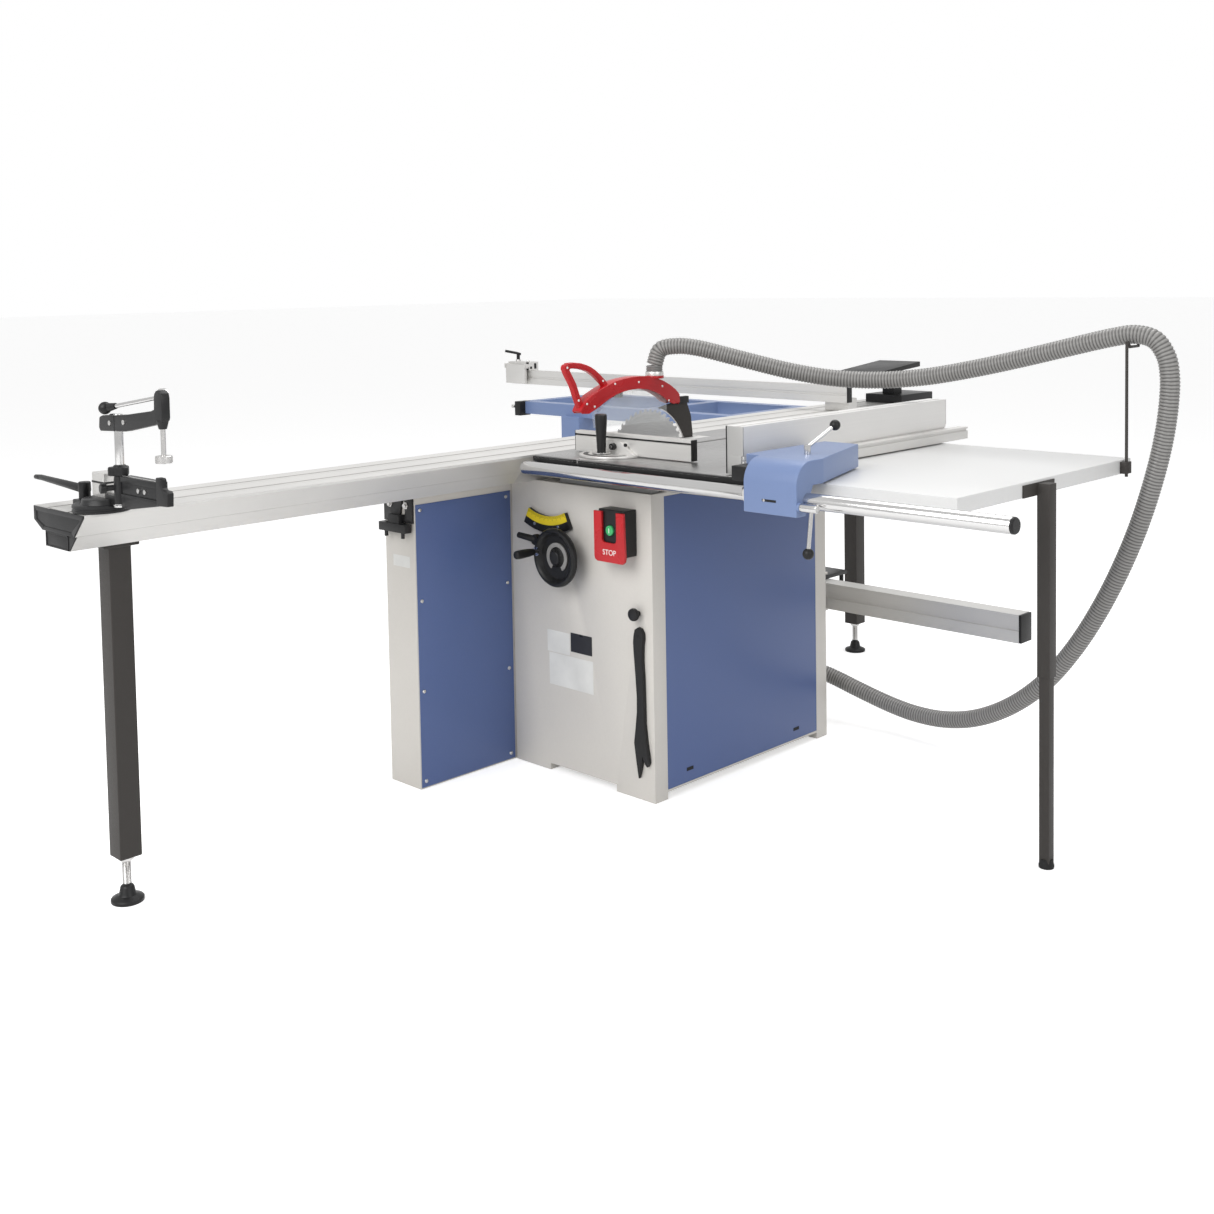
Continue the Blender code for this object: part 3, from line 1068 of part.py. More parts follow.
def crosscut_stop():
    """Stop block that slides on the crosscut fence, and the arm that flips down in front of it."""
    back = CROSSCUT_Y + CROSSCUT_THICKNESS / 2
    front = CROSSCUT_Y - CROSSCUT_THICKNESS / 2
    top = CROSSCUT_BOTTOM + CROSSCUT_HEIGHT
    left = STOP_LEFT
    block = box("crosscut_stop", (left, front - 0.006, top + GAP), (left + 0.124, back + 0.020, top + 0.034), "aluminium")
    keeper = box("stop_keeper", (left, back + GAP, top - 0.044), (left + 0.124, back + 0.020, top + 0.010))
    knob = rod("stop_knob", (left + 0.090, back + 0.015, top - 0.020), (left + 0.090, back + 0.046, top - 0.020), 0.013, sides=14)
    stem = rod("stop_stem", (left + 0.040, CROSSCUT_Y, top + 0.030), (left + 0.040, CROSSCUT_Y, top + 0.062), 0.007, sides=12)
    lever = tube("stop_lever", [(left + 0.052, CROSSCUT_Y, top + 0.064), (left + 0.030, CROSSCUT_Y, top + 0.068), (left + 0.006, CROSSCUT_Y - 0.040, top + 0.078)], 0.0055)
    hinge_y, hinge_z = front - 0.020, top + 0.018
    ears = [
        box(f"stop_ear_{i}", (x, hinge_y - 0.008, hinge_z - 0.009), (x + 0.0055, front - 0.004, hinge_z + 0.009))
        for i, x in enumerate((left, left + 0.1185))
    ]
    pin = rod("stop_pin", (left + 0.001, hinge_y, hinge_z), (left + 0.123, hinge_y, hinge_z), 0.0030, sides=12)
    join(block, keeper, knob, stem, lever, *ears, pin)
    pivot(block, (left + 0.062, CROSSCUT_Y, top))
    arm = box("stop_arm", (left + 0.006, hinge_y - 0.006, CROSSCUT_BOTTOM + 0.004), (left + 0.118, hinge_y + 0.007, hinge_z + 0.006), "aluminium")
    pin_way = rod("stop_pin_way", (left - 0.01, hinge_y, hinge_z), (left + 0.14, hinge_y, hinge_z), 0.0035, sides=12)
    pivot(cut(arm, pin_way), (left + 0.062, hinge_y, hinge_z))


def swing_arm():
    left = COLUMN_X - 0.040
    low, high = ARM_BOTTOM, ARM_BOTTOM + ARM_HEIGHT
    half = ARM_WIDTH / 2
    arm = box("swing_arm", (left, ARM_Y - half, low), (ARM_RIGHT, ARM_Y + half, high), "aluminium")
    pin = rod("arm_pin_hole", (COLUMN_X, ARM_Y, low - 0.01), (COLUMN_X, ARM_Y, high + 0.01), 0.0125, sides=16)
    grooves = [
        box(f"arm_groove_{i}", (left - 0.01, y, low + 0.034), (ARM_RIGHT + 0.01, y + 0.014, low + 0.046))
        for i, y in enumerate((ARM_Y - half - 0.010, ARM_Y + half - 0.004))
    ]
    return pivot(cut(arm, pin, *grooves), (COLUMN_X, ARM_Y, low))


def arm_sleeve():
    """Two plates that hold the swing arm between them, joined by four posts, turning on pins in the bracket."""
    low, high = ARM_BOTTOM, ARM_BOTTOM + ARM_HEIGHT
    post = 0.007
    posts_y = ARM_WIDTH / 2 + ARM_SWAY + post
    reach = posts_y + post + 0.002
    sleeve = box("arm_sleeve", (SLEEVE_X - 0.045, ARM_Y - reach, low - 0.012), (SLEEVE_X + 0.045, ARM_Y + reach, low - PLAY), "dark")
    top = box("sleeve_top", (SLEEVE_X - 0.045, ARM_Y - reach, high + PLAY), (SLEEVE_X + 0.045, ARM_Y + reach, high + 0.012))
    posts = [
        rod(f"sleeve_post_{i}", (SLEEVE_X + x, ARM_Y + y, low - 0.006), (SLEEVE_X + x, ARM_Y + y, high + 0.006), post, sides=14)
        for i, (x, y) in enumerate((x, y) for x in (-0.030, 0.030) for y in (-posts_y, posts_y))
    ]
    return pivot(join(sleeve, top, *posts), (SLEEVE_X, ARM_Y, low))


# Rip fence


def fence_carriage():
    """Casting that rides on the round rail, with the arm that reaches back over the table."""
    over = TABLE_TOP + FENCE_CLEAR
    left, right = 0.425, 0.569
    nose = arc((RAIL_Y + 0.014, 0.866), 0.054, 180, 90, 8)
    section = [(-0.160, 0.808)] + nose + [(0.010, 0.924), (0.010, over), (RAIL_Y + RAIL_RADIUS + 0.004, over), (RAIL_Y + 0.006, RAIL_Z + 0.002), (RAIL_Y - 0.006, 0.808)]
    head = plate("fence_carriage", section, "X", left, right, "light_blue")
    rail_way = rod("rail_way", (left - 0.05, RAIL_Y, RAIL_Z), (right + 0.05, RAIL_Y, RAIL_Z), RAIL_RADIUS + PLAY, sides=28)
    arm = plate(
        "carriage_arm", [(FENCE_X + FENCE_BAR_WIDTH + 2 * GAP + 0.0004, -0.060), (right + 0.016, -0.070), (right + 0.012, -0.040), (0.480, 0.200), (FENCE_X + FENCE_BAR_WIDTH + 2 * GAP + 0.0004, 0.200)],
        "Z", over, 0.926,
    )
    slot = box("carriage_slot", (0.476, -0.17, 0.835), (0.515, -0.155, 0.841))
    boss = rod("lock_boss", (right - 0.004, -0.150, 0.830), (right + 0.006, -0.150, 0.830), 0.0095, sides=16)
    return join(cut(join(head, arm), rail_way, slot), boss)


def fence_bar():
    """Low aluminium bar fixed to the carriage: the tall profile clamps to its side."""
    low = FENCE_BOTTOM
    bar = box("fence_bar", (FENCE_X + GAP, -0.050, low), (FENCE_X + GAP + FENCE_BAR_WIDTH, FENCE_BACK + 0.060, low + FENCE_BAR_HEIGHT), "aluminium")
    groove = box("fence_bar_groove", (FENCE_X + FENCE_BAR_WIDTH - 0.004, -0.06, low + 0.022), (FENCE_X + FENCE_BAR_WIDTH + 0.01, FENCE_BACK + 0.07, low + 0.027))
    return cut(bar, groove)


def fence_profile():
    low, high = FENCE_BOTTOM, FENCE_BOTTOM + FENCE_HEIGHT
    left = FENCE_X - FENCE_THICKNESS
    profile = box("fence_profile", (left, FENCE_FRONT, low), (FENCE_X, FENCE_BACK, high), "aluminium")
    hollow = box("fence_hollow", (left + 0.005, FENCE_FRONT - 0.01, low + 0.050), (FENCE_X - 0.005, FENCE_BACK + 0.01, high - 0.005))
    under = box("fence_under", (left + 0.005, FENCE_FRONT - 0.01, low - 0.01), (FENCE_X - 0.005, FENCE_BACK + 0.01, low + 0.042))
    return cut(profile, hollow, under)


LOCK_AXIS = (-0.150, 0.830)


def fence_levers():
    x, (y, z) = 0.575, LOCK_AXIS
    barrel = rod("fence_lock_lever", (x + PLAY, y, z), (x + 0.042, y, z), 0.0095, "chrome", sides=18)
    stem = rod("lock_rod", (x + 0.026, y, z - 0.004), (x + 0.026, y - 0.012, z - 0.085), 0.0045, sides=12)
    knob = ball("lock_ball", (x + 0.026, y - 0.013, z - 0.095), 0.0125)
    pivot(join(barrel, stem, knob), (x, y, z))
    bx, by, bz = 0.500, -0.026, 0.926
    post = rod("fence_clamp_lever", (bx, by, bz + GAP), (bx, by, bz + 0.022), 0.0075, "chrome", sides=16)
    lever = rod("clamp_rod", (bx, by, bz + 0.016), (bx + 0.018, by + 0.070, bz + 0.056), 0.0045, sides=12)
    grip = ball("clamp_ball", (bx + 0.020, by + 0.078, bz + 0.060), 0.0125)
    pivot(join(post, lever, grip), (bx, by, bz))


# Mitre gauge

MITRE_PIVOT = (MITRE_SLOT_X, 0.000, TABLE_TOP)
MITRE_FENCE_FRONT = 0.0385


def mitre_bar():
    half = MITRE_SLOT_WIDTH / 2 - PLAY
    return pivot(
        box("mitre_bar", (MITRE_SLOT_X - half, -0.070, TABLE_TOP - MITRE_SLOT_DEPTH + GAP), (MITRE_SLOT_X + half, 0.300, TABLE_TOP - GAP), "steel"),
        MITRE_PIVOT,
    )


def mitre_head():
    x, y, z = MITRE_PIVOT
    deck = z + GAP
    quadrant = plate(
        "mitre_head", arc((x + 0.010, 0.034), 0.088, 180, 360, 16), "Z", deck, deck + 0.008, "aluminium"
    )
    face = box("mitre_face", (x - 0.078, 0.028, deck), (x + 0.098, MITRE_FENCE_FRONT - GAP, deck + 0.046))
    web = plate("mitre_web", [(0.030, deck + 0.004), (0.030, deck + 0.036), (-0.030, deck + 0.010), (-0.030, deck + 0.004)], "X", x + 0.030, x + 0.040)
    profile = [(0.0, 0.109), (0.0135, 0.107), (0.0140, 0.095), (0.0110, 0.006), (0.0, 0.006)]
    grip = turned("mitre_grip", profile, (x, y, deck))
    return pivot(join(quadrant, face, web, grip), MITRE_PIVOT)


def mitre_fence():
    low = TABLE_TOP + 0.003
    fence = box("mitre_fence", (-0.306, MITRE_FENCE_FRONT, low), (0.104, MITRE_FENCE_FRONT + 0.020, low + 0.053), "aluminium")
    groove = box("mitre_groove", (-0.32, MITRE_FENCE_FRONT - 0.01, low + 0.040), (0.12, MITRE_FENCE_FRONT + 0.003, low + 0.045))
    return pivot(cut(fence, groove), MITRE_PIVOT)


def build():
    for make in (
        cabinet, right_side_panel, wing_box, wing_side_panel, wing_bracket, main_table, table_insert, scale_bar,
        extension_table, fence_rail, guide_beam, sliding_table, table_leg, handwheel, crank_handle, tilt_lock,
        tilt_scale, switch, emergency_stop, push_stick, dust_chute, dust_hose, hose_hook, tilt_cradle, rise_slide,
        arbor, blade, motor, motor_pulley, drive_belt, splitter, guard_shell, guard_window, clamp_base, clamp_arm,
        clamp_spindle, clamp_cam, edging_shoe, outrigger_frame, outrigger_roller, crosscut_fence, crosscut_stop,
        swing_arm, arm_sleeve, fence_carriage, fence_bar, fence_profile, fence_levers, mitre_bar, mitre_head,
        mitre_fence,
    ):
        make()
    for name, y in (("front", FRONT_LEG_Y), ("rear", REAR_LEG_Y)):
        square_leg(name + "_leg", y)
        foot(name + "_foot", y)


build()
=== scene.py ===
"""Panel saw: finishes, trim, hose and stage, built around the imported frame."""

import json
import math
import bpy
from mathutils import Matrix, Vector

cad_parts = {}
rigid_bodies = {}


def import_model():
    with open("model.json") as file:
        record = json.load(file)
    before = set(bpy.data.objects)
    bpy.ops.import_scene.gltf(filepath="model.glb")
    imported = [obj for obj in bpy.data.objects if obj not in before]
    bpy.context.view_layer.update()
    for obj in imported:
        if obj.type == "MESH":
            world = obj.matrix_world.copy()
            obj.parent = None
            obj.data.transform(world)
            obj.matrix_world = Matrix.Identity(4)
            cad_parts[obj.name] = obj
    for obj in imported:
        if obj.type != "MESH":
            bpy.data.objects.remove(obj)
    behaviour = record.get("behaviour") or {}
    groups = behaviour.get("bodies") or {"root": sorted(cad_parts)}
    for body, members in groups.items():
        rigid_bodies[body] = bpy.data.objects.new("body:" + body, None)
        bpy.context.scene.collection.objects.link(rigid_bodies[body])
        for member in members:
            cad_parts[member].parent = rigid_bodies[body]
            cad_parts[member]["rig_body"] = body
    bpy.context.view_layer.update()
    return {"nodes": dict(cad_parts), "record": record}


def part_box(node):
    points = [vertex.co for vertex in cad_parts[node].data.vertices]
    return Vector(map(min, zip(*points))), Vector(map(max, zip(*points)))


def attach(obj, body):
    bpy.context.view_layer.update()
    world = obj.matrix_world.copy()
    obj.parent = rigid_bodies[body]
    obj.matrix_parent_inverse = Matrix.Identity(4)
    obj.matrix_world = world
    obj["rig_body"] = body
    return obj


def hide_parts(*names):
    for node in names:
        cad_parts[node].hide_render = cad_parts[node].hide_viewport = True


bl_info = {
    "name": "Panel Saw",
    "version": (1, 0, 0),
    "blender": (4, 5, 0),
    "location": "View3D > Sidebar > Panel Saw",
    "description": "Finishes and trim of a sliding table panel saw",
    "category": "Add Mesh",
}

import bmesh
import bpy
from mathutils import Matrix, Vector

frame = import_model()
NODES = frame["nodes"]

# The front right bottom corner of the cabinet: every place below is measured from it.
CORNER = Vector((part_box("cabinet")[1].x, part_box("cabinet")[0].y, 0.0))

# Places shared by several pieces, measured from the corner.
DECK = 0.8683  # where parts stand on a table
BLADE_AXLE = (-0.285, 0.295, 0.8035)
OUTLET = (-0.285, 0.33)  # middle of the guard's outlet
RAIL_Y, RAIL_Z, RAIL_RADIUS = -0.12, 0.84, 0.0175
CRANK = (-0.363, 0.607)

# Centreline of the hose, measured from the same corner.
HOSE_ROUTE = [
    (-0.285, 0.33, 1.0809), (-0.285, 0.33, 1.1), (-0.268, 0.343, 1.125), (-0.222, 0.375, 1.133),
    (-0.17, 0.413, 1.122), (-0.08, 0.48, 1.092), (0.02, 0.545, 1.062), (0.12, 0.6, 1.043),
    (0.23, 0.65, 1.038), (0.35, 0.69, 1.048), (0.48, 0.715, 1.072), (0.61, 0.73, 1.102),
    (0.73, 0.74, 1.132), (0.82, 0.745, 1.154), (0.89, 0.748, 1.167), (0.935, 0.75, 1.162),
    (0.965, 0.752, 1.135), (0.98, 0.755, 1.085), (0.978, 0.76, 1.01), (0.962, 0.767, 0.915),
    (0.935, 0.775, 0.815), (0.895, 0.785, 0.7), (0.845, 0.795, 0.585), (0.785, 0.805, 0.47),
    (0.715, 0.815, 0.36), (0.63, 0.825, 0.255), (0.53, 0.835, 0.17), (0.42, 0.845, 0.11),
    (0.31, 0.855, 0.08), (0.2, 0.865, 0.074), (0.1, 0.87, 0.086), (0.01, 0.865, 0.108),
    (-0.065, 0.858, 0.129), (-0.122, 0.835, 0.147), (-0.15, 0.805, 0.15), (-0.15, 0.7754, 0.15),
]


def at(x, y, z):
    """A place given from the cabinet's corner, in the frame of the whole saw."""
    return CORNER + Vector((x, y, z))


# Sizes and colours that a user may change


def colour(name, about, default):
    return bpy.props.FloatVectorProperty(
        name=name, description=about, default=default, size=3, subtype="COLOR", min=0.0, max=1.0
    )


def length(name, about, default, low, high):
    return bpy.props.FloatProperty(
        name=name, description=about, default=default, min=low, max=high, unit="LENGTH", precision=4
    )


class SawColours(bpy.types.PropertyGroup):
    """Colours of the paints and plastics."""

    pale: colour("Pale paint", "Cabinet and wing", (0.63, 0.605, 0.565))
    table: colour("Table paint", "Extension table", (0.69, 0.69, 0.685))
    blue: colour("Panel blue", "Side panels", (0.086, 0.132, 0.3))
    bright_blue: colour("Bright blue", "Fence carriage and outrigger", (0.165, 0.23, 0.41))
    red: colour("Guard red", "Hood guard, stop flap and stop button", (0.46, 0.013, 0.018))
    yellow: colour("Scale yellow", "Tilt scale", (0.8, 0.62, 0.02))
    green: colour("Start green", "Start button", (0.05, 0.42, 0.14))
    black: colour("Black", "Knobs, levers and end caps", (0.011, 0.011, 0.0115))
    leg: colour("Leg paint", "Legs and brackets", (0.038, 0.034, 0.031))
    aluminium: colour("Aluminium", "Anodised extrusions", (0.7, 0.69, 0.67))
    hose: colour("Hose grey", "Dust hose", (0.21, 0.205, 0.198))


class SawSizes(bpy.types.PropertyGroup):
    """Sizes of edges, ribs and small parts."""

    edge: length("Edge rounding", "Radius of sheet and casting edges", 0.0016, 0.0002, 0.004)
    rib_pitch: length("Hose rib pitch", "Distance between two ribs of the hose", 0.0085, 0.004, 0.02)
    rib_height: length("Hose rib height", "How far a rib stands out", 0.0026, 0.0005, 0.005)
    screw_radius: length("Screw radius", "Radius of a panel screw's head", 0.0052, 0.002, 0.01)


# Node trees written as expressions


class Value:
    """A number in a node tree: arithmetic on it adds Math nodes."""

    def __init__(self, tree, socket):
        self.tree, self.socket = tree, socket

    def math(self, operation, *terms):
        node = self.tree.nodes.new("ShaderNodeMath")
        node.operation = operation
        for slot, term in zip(node.inputs, terms):
            if isinstance(term, Value):
                self.tree.links.new(term.socket, slot)
            else:
                slot.default_value = term
        return Value(self.tree, node.outputs[0])

    def __add__(self, other):
        return self.math("ADD", self, other)

    def __sub__(self, other):
        return self.math("SUBTRACT", self, other)

    def __mul__(self, other):
        return self.math("MULTIPLY", self, other)

    __radd__ = __add__
    __rmul__ = __mul__

    def clipped(self, low=0.0, high=1.0):
        return self.math("MINIMUM", self.math("MAXIMUM", self, low), high)


class Nodes:
    """A node tree that is built node by node."""

    def __init__(self, tree):
        self.tree = tree

    def fill(self, socket, value):
        if isinstance(value, Value):
            self.tree.links.new(value.socket, socket)
        else:
            socket.default_value = value

    def node(self, kind, settings=(), **values):
        """The outputs of a new node, by name, with its settings made first and its sockets filled after."""
        node = self.tree.nodes.new(kind)
        for key, value in dict(settings).items():
            setattr(node, key, value)
        for key, value in values.items():
            self.fill(node.inputs[int(key[1:]) if key[0] == "i" and key[1:].isdigit() else key], value)
        return {output.name: Value(self.tree, output) for output in node.outputs}


class Finish(Nodes):
    """A material under a Principled shader."""

    def __init__(self, name, roughness=0.5, metallic=0.0, **settings):
        self.material = bpy.data.materials.new(name)
        self.material.use_nodes = True
        super().__init__(self.material.node_tree)
        self.shader = self.tree.nodes["Principled BSDF"]
        self.to("Roughness", roughness)
        self.to("Metallic", metallic)
        for socket, value in settings.items():
            self.to(socket.replace("_", " ").title().replace("Ior", "IOR"), value)

    def place(self, scale=(1.0, 1.0, 1.0), turn=(0.0, 0.0, 0.0)):
        where = self.node("ShaderNodeTexCoord")["Object"]
        return self.node("ShaderNodeMapping", Vector=where, Scale=scale, Rotation=turn)["Vector"]

    def noise(self, where, scale, detail=2.0, roughness=0.5):
        return self.node(
            "ShaderNodeTexNoise", Vector=where, Scale=scale, Detail=detail, Roughness=roughness,
        )["Fac"]

    def blend(self, share, first, second):
        self.node("ShaderNodeMix", {"data_type": "RGBA"}, i0=share, i6=first, i7=second)
        return Value(self.tree, self.tree.nodes[-1].outputs[2])

    def to(self, socket, value):
        self.fill(self.shader.inputs[socket], value)

    def bump(self, height, strength, distance):
        made = self.node("ShaderNodeBump", Height=height, Strength=strength, Distance=distance)
        self.to("Normal", made["Normal"])


def shade(tone, amount):
    return (*[min(1.0, channel * amount) for channel in tone], 1.0)


def painted(name, tone, roughness=0.42, peel=900.0, relief=0.1, coat=0.15, shine=0.5):
    """Sprayed paint: orange peel, with slow and fine random changes of tone."""
    made = Finish(name, roughness, coat_weight=coat, coat_roughness=0.25, specular_ior_level=shine)
    where = made.place()
    cloud = made.noise(where, 3.0, 4.0)
    speck = made.noise(where, 160.0, 2.0)
    made.to("Base Color", made.blend(cloud * 0.6 + speck * 0.4, shade(tone, 0.93), shade(tone, 1.05)))
    made.to("Roughness", (cloud - 0.5) * 0.16 + (speck - 0.5) * 0.1 + roughness)
    made.bump(made.noise(where, peel, 2.0), relief, 0.0004)
    return made.material


def moulded(name, tone, roughness=0.45, grain=1500.0, relief=0.25, shine=0.4):
    """Moulded plastic or rubber with a fine grain."""
    made = Finish(name, roughness, specular_ior_level=shine)
    where = made.place()
    cloud = made.noise(where, 14.0, 3.0)
    made.to("Base Color", made.blend(cloud, shade(tone, 0.82), shade(tone, 1.18)))
    made.to("Roughness", (cloud - 0.5) * 0.2 + roughness)
    made.bump(made.noise(where, grain, 2.0), relief, 0.0003)
    return made.material


def drawn(name, tone, roughness=0.34, stretch=(900.0, 3.0, 900.0), relief=0.06, metallic=0.9):
    """Metal with fine lines along one direction, from drawing, grinding or brushing."""
    made = Finish(name, roughness, metallic)
    lines = made.noise(made.place(stretch), 1.0, 3.0, 0.6)
    cloud = made.noise(made.place(), 5.0, 3.0)
    mark = (lines * 0.6 + cloud * 0.4).clipped()
    made.to("Base Color", made.blend(mark, shade(tone, 0.88), shade(tone, 1.06)))
    made.to("Roughness", (lines - 0.5) * 0.22 + (cloud - 0.5) * 0.14 + roughness)
    made.bump(lines, relief, 0.0003)
    return made.material


def brushed_round(name, tone, centre, roughness=0.26):
    """Disc ground in circles about its own axis, which runs along X."""
    made = Finish(name, roughness, 1.0)
    where = made.node("ShaderNodeTexCoord")["Object"]
    out = made.node("ShaderNodeVectorMath", {"operation": "DISTANCE"}, i0=where, i1=centre)["Value"]
    rings = made.noise(made.node("ShaderNodeCombineXYZ", X=out * 1800.0)["Vector"], 1.0, 3.0)
    cloud = made.noise(made.place(), 9.0, 3.0)
    made.to("Base Color", made.blend(rings * 0.5 + cloud * 0.5, shade(tone, 0.8), shade(tone, 1.1)))
    made.to("Roughness", (rings - 0.5) * 0.25 + roughness)
    made.bump(rings, 0.05, 0.0003)
    return made.material


def ribbed_grey_groove_shade(name, tone):
    """Hose wall: the piece's height attribute tells rib from groove, and the colour follows it: painted shade
    in the grooves and a painted highlight on the crests.
    """
    made = Finish(name, 0.36)
    rib = made.node("ShaderNodeAttribute", {"attribute_name": "rib"})["Fac"]
    cloud = made.noise(made.place(), 20.0, 3.0)
    # Dark in the grooves, light on the crests: painted shade and painted highlight of the ribs.
    made.to("Base Color", made.blend(rib * 0.85 + cloud * 0.15, shade(tone, 0.22), shade(tone, 1.45)))
    made.to("Roughness", (cloud - 0.5) * 0.2 + 0.36)
    made.bump(made.noise(made.place(), 700.0), 0.08, 0.0003)
    return made.material


def clear_sheet(name):
    """Clear plastic guard: thin, so it is see-through with a gloss and faint scratches."""
    made = Finish(name, 0.12, alpha=0.14, ior=1.49)
    where = made.place((1.0, 1.0, 1.0), (0.4, 0.2, 0.1))
    scratch = made.noise(made.place((4.0, 260.0, 90.0), (0.3, 0.0, 0.0)), 1.0, 2.0)
    cloud = made.noise(where, 12.0)
    made.to("Base Color", made.blend(cloud, (0.78, 0.82, 0.83, 1.0), (0.9, 0.92, 0.92, 1.0)))
    made.to("Roughness", (scratch - 0.4) * 0.3 + 0.14)
    made.bump(scratch, 0.04, 0.0002)
    return made.material


F = {}


def make_finishes(tones):
    F.update(
        pale=painted("pale_paint_shell", tones.pale), table=painted("pale_paint_table", tones.table, 0.38),
        blue=painted("blue_paint_panel", tones.blue, 0.36, coat=0.12, shine=0.35),
        bright=painted("light_blue_paint_cast", tones.bright_blue, 0.36, 420.0, 0.16, 0.2, 0.4),
        leg=painted("dark_powder_coat", tones.leg, 0.48, 1300.0, 0.3, 0.0, 0.28),
        red=moulded("red_gloss_plastic", tones.red, 0.26, 300.0, 0.06, 0.35),
        yellow=moulded("yellow_scale_plastic", tones.yellow, 0.45),
        green=moulded("green_button_plastic", tones.green, 0.35),
        black=moulded("black_grained_plastic", tones.black, 0.38, shine=0.28),
        satin=moulded("black_cast_metal", shade(tones.black, 1.3)[:3], 0.36, 500.0, 0.3, 0.3),
        rubber=moulded("black_rubber", shade(tones.black, 1.3)[:3], 0.62, 900.0, 0.3, 0.25),
        grey=moulded("grey_plastic", (0.24, 0.235, 0.23), 0.5),
        white=moulded("white_marking", (0.82, 0.82, 0.8), 0.5, 1200.0, 0.05),
        plate=moulded("bare_plate", (0.7, 0.7, 0.68), 0.35, 1200.0, 0.04),
        plate_dark=moulded("bare_dark_plate", (0.022, 0.022, 0.025), 0.3, 1200.0, 0.04),
        alu_y=drawn("aluminium_drawn_long", tones.aluminium, 0.44, metallic=0.6),
        alu_x=drawn("aluminium_drawn_across", tones.aluminium, 0.42, (3.0, 900.0, 900.0), metallic=0.6),
        alu_cast=drawn("aluminium_cast", tones.aluminium, 0.36, (160.0, 160.0, 160.0), 0.15, 0.75),
        # A darker copy of the fence aluminium for the profile's end faces: painted shade, so the ends read
        # darker than the lit long face.
        fence_end=drawn("aluminium_fence_end", (0.44, 0.435, 0.425), 0.42, (500.0, 500.0, 500.0),
                        metallic=0.55),
        fence=drawn("aluminium_fence_face", (0.8, 0.79, 0.775), 0.42, metallic=0.55),
        iron=drawn("ground_iron_top", (0.4, 0.395, 0.39), 0.3, (700.0, 5.0, 700.0), 0.08),
        cast=painted("iron_casting_primer", (0.17, 0.17, 0.165), 0.55, 260.0, 0.5, 0.0),
        steel=drawn("bright_steel", (0.66, 0.65, 0.64), 0.28, (60.0, 60.0, 60.0), 0.05, 1.0),
        chrome=drawn("chrome_polish", (0.66, 0.655, 0.65), 0.14, (3.0, 500.0, 500.0), 0.01, 1.0),
        blade=brushed_round("saw_plate_steel", (0.62, 0.62, 0.62), tuple(at(*BLADE_AXLE))),
        motor=painted("motor_enamel", (0.045, 0.05, 0.058), 0.4),
        hose=ribbed_grey_groove_shade("grey_hose_wall_groove_shade", tones.hose), clear=clear_sheet("clear_guard_sheet"),
    )


# Mesh pieces


def mm(*numbers):
    """Pairs of millimetres, one after another, as places in metres."""
    return [(a / 1000, b / 1000) for a, b in zip(numbers[::2], numbers[1::2])]


SHARP = math.radians(32)  # faces that meet at more than this are shaded apart
ROUNDED = math.radians(28)  # edges sharper than this are rounded
FLAT = math.radians(1.0)  # triangles within this are one face of a CAD solid
MERGE = 2e-6  # corners of a CAD solid nearer than this are one
UP, OUT, RIGHT = (0, 0, 1), (0, -1, 0), (1, 0, 0)  # ways that turned pieces point

AXES = {
    "X": Matrix(((0, 0, 1, 0), (1, 0, 0, 0), (0, 1, 0, 0), (0, 0, 0, 1))),
    "Y": Matrix(((1, 0, 0, 0), (0, 0, -1, 0), (0, 1, 0, 0), (0, 0, 0, 1))),
    "Z": Matrix.Identity(4),
}


def round_edges(shape, width, segments=2):
    edges = [e for e in shape.edges if len(e.link_faces) == 2 and e.calc_face_angle(0.0) > ROUNDED]
    if width and edges:
        bmesh.ops.bevel(
            shape, geom=edges, offset=width, segments=segments, profile=0.6, affect="EDGES",
            clamp_overlap=True,
        )


def ring(centre, radius, start, end, steps):
    turns = [math.radians(start + (end - start) * i / steps) for i in range(steps + 1)]
    return [(centre[0] + radius * math.cos(t), centre[1] + radius * math.sin(t)) for t in turns]


def band(centre, inner, outer, start, end, steps):
    return ring(centre, outer, start, end, steps) + ring(centre, inner, end, start, steps)


def strip(path, width):
    """Outline of a flat bar whose middle follows a line."""
    points, left, right = [Vector(p) for p in path], [], []
    for i, point in enumerate(points):
        ahead = (points[min(i + 1, len(points) - 1)] - points[max(i - 1, 0)]).normalized() * (width / 2)
        left.append((point.x - ahead.y, point.y + ahead.x))
        right.append((point.x + ahead.y, point.y - ahead.x))
    return left + right[::-1]


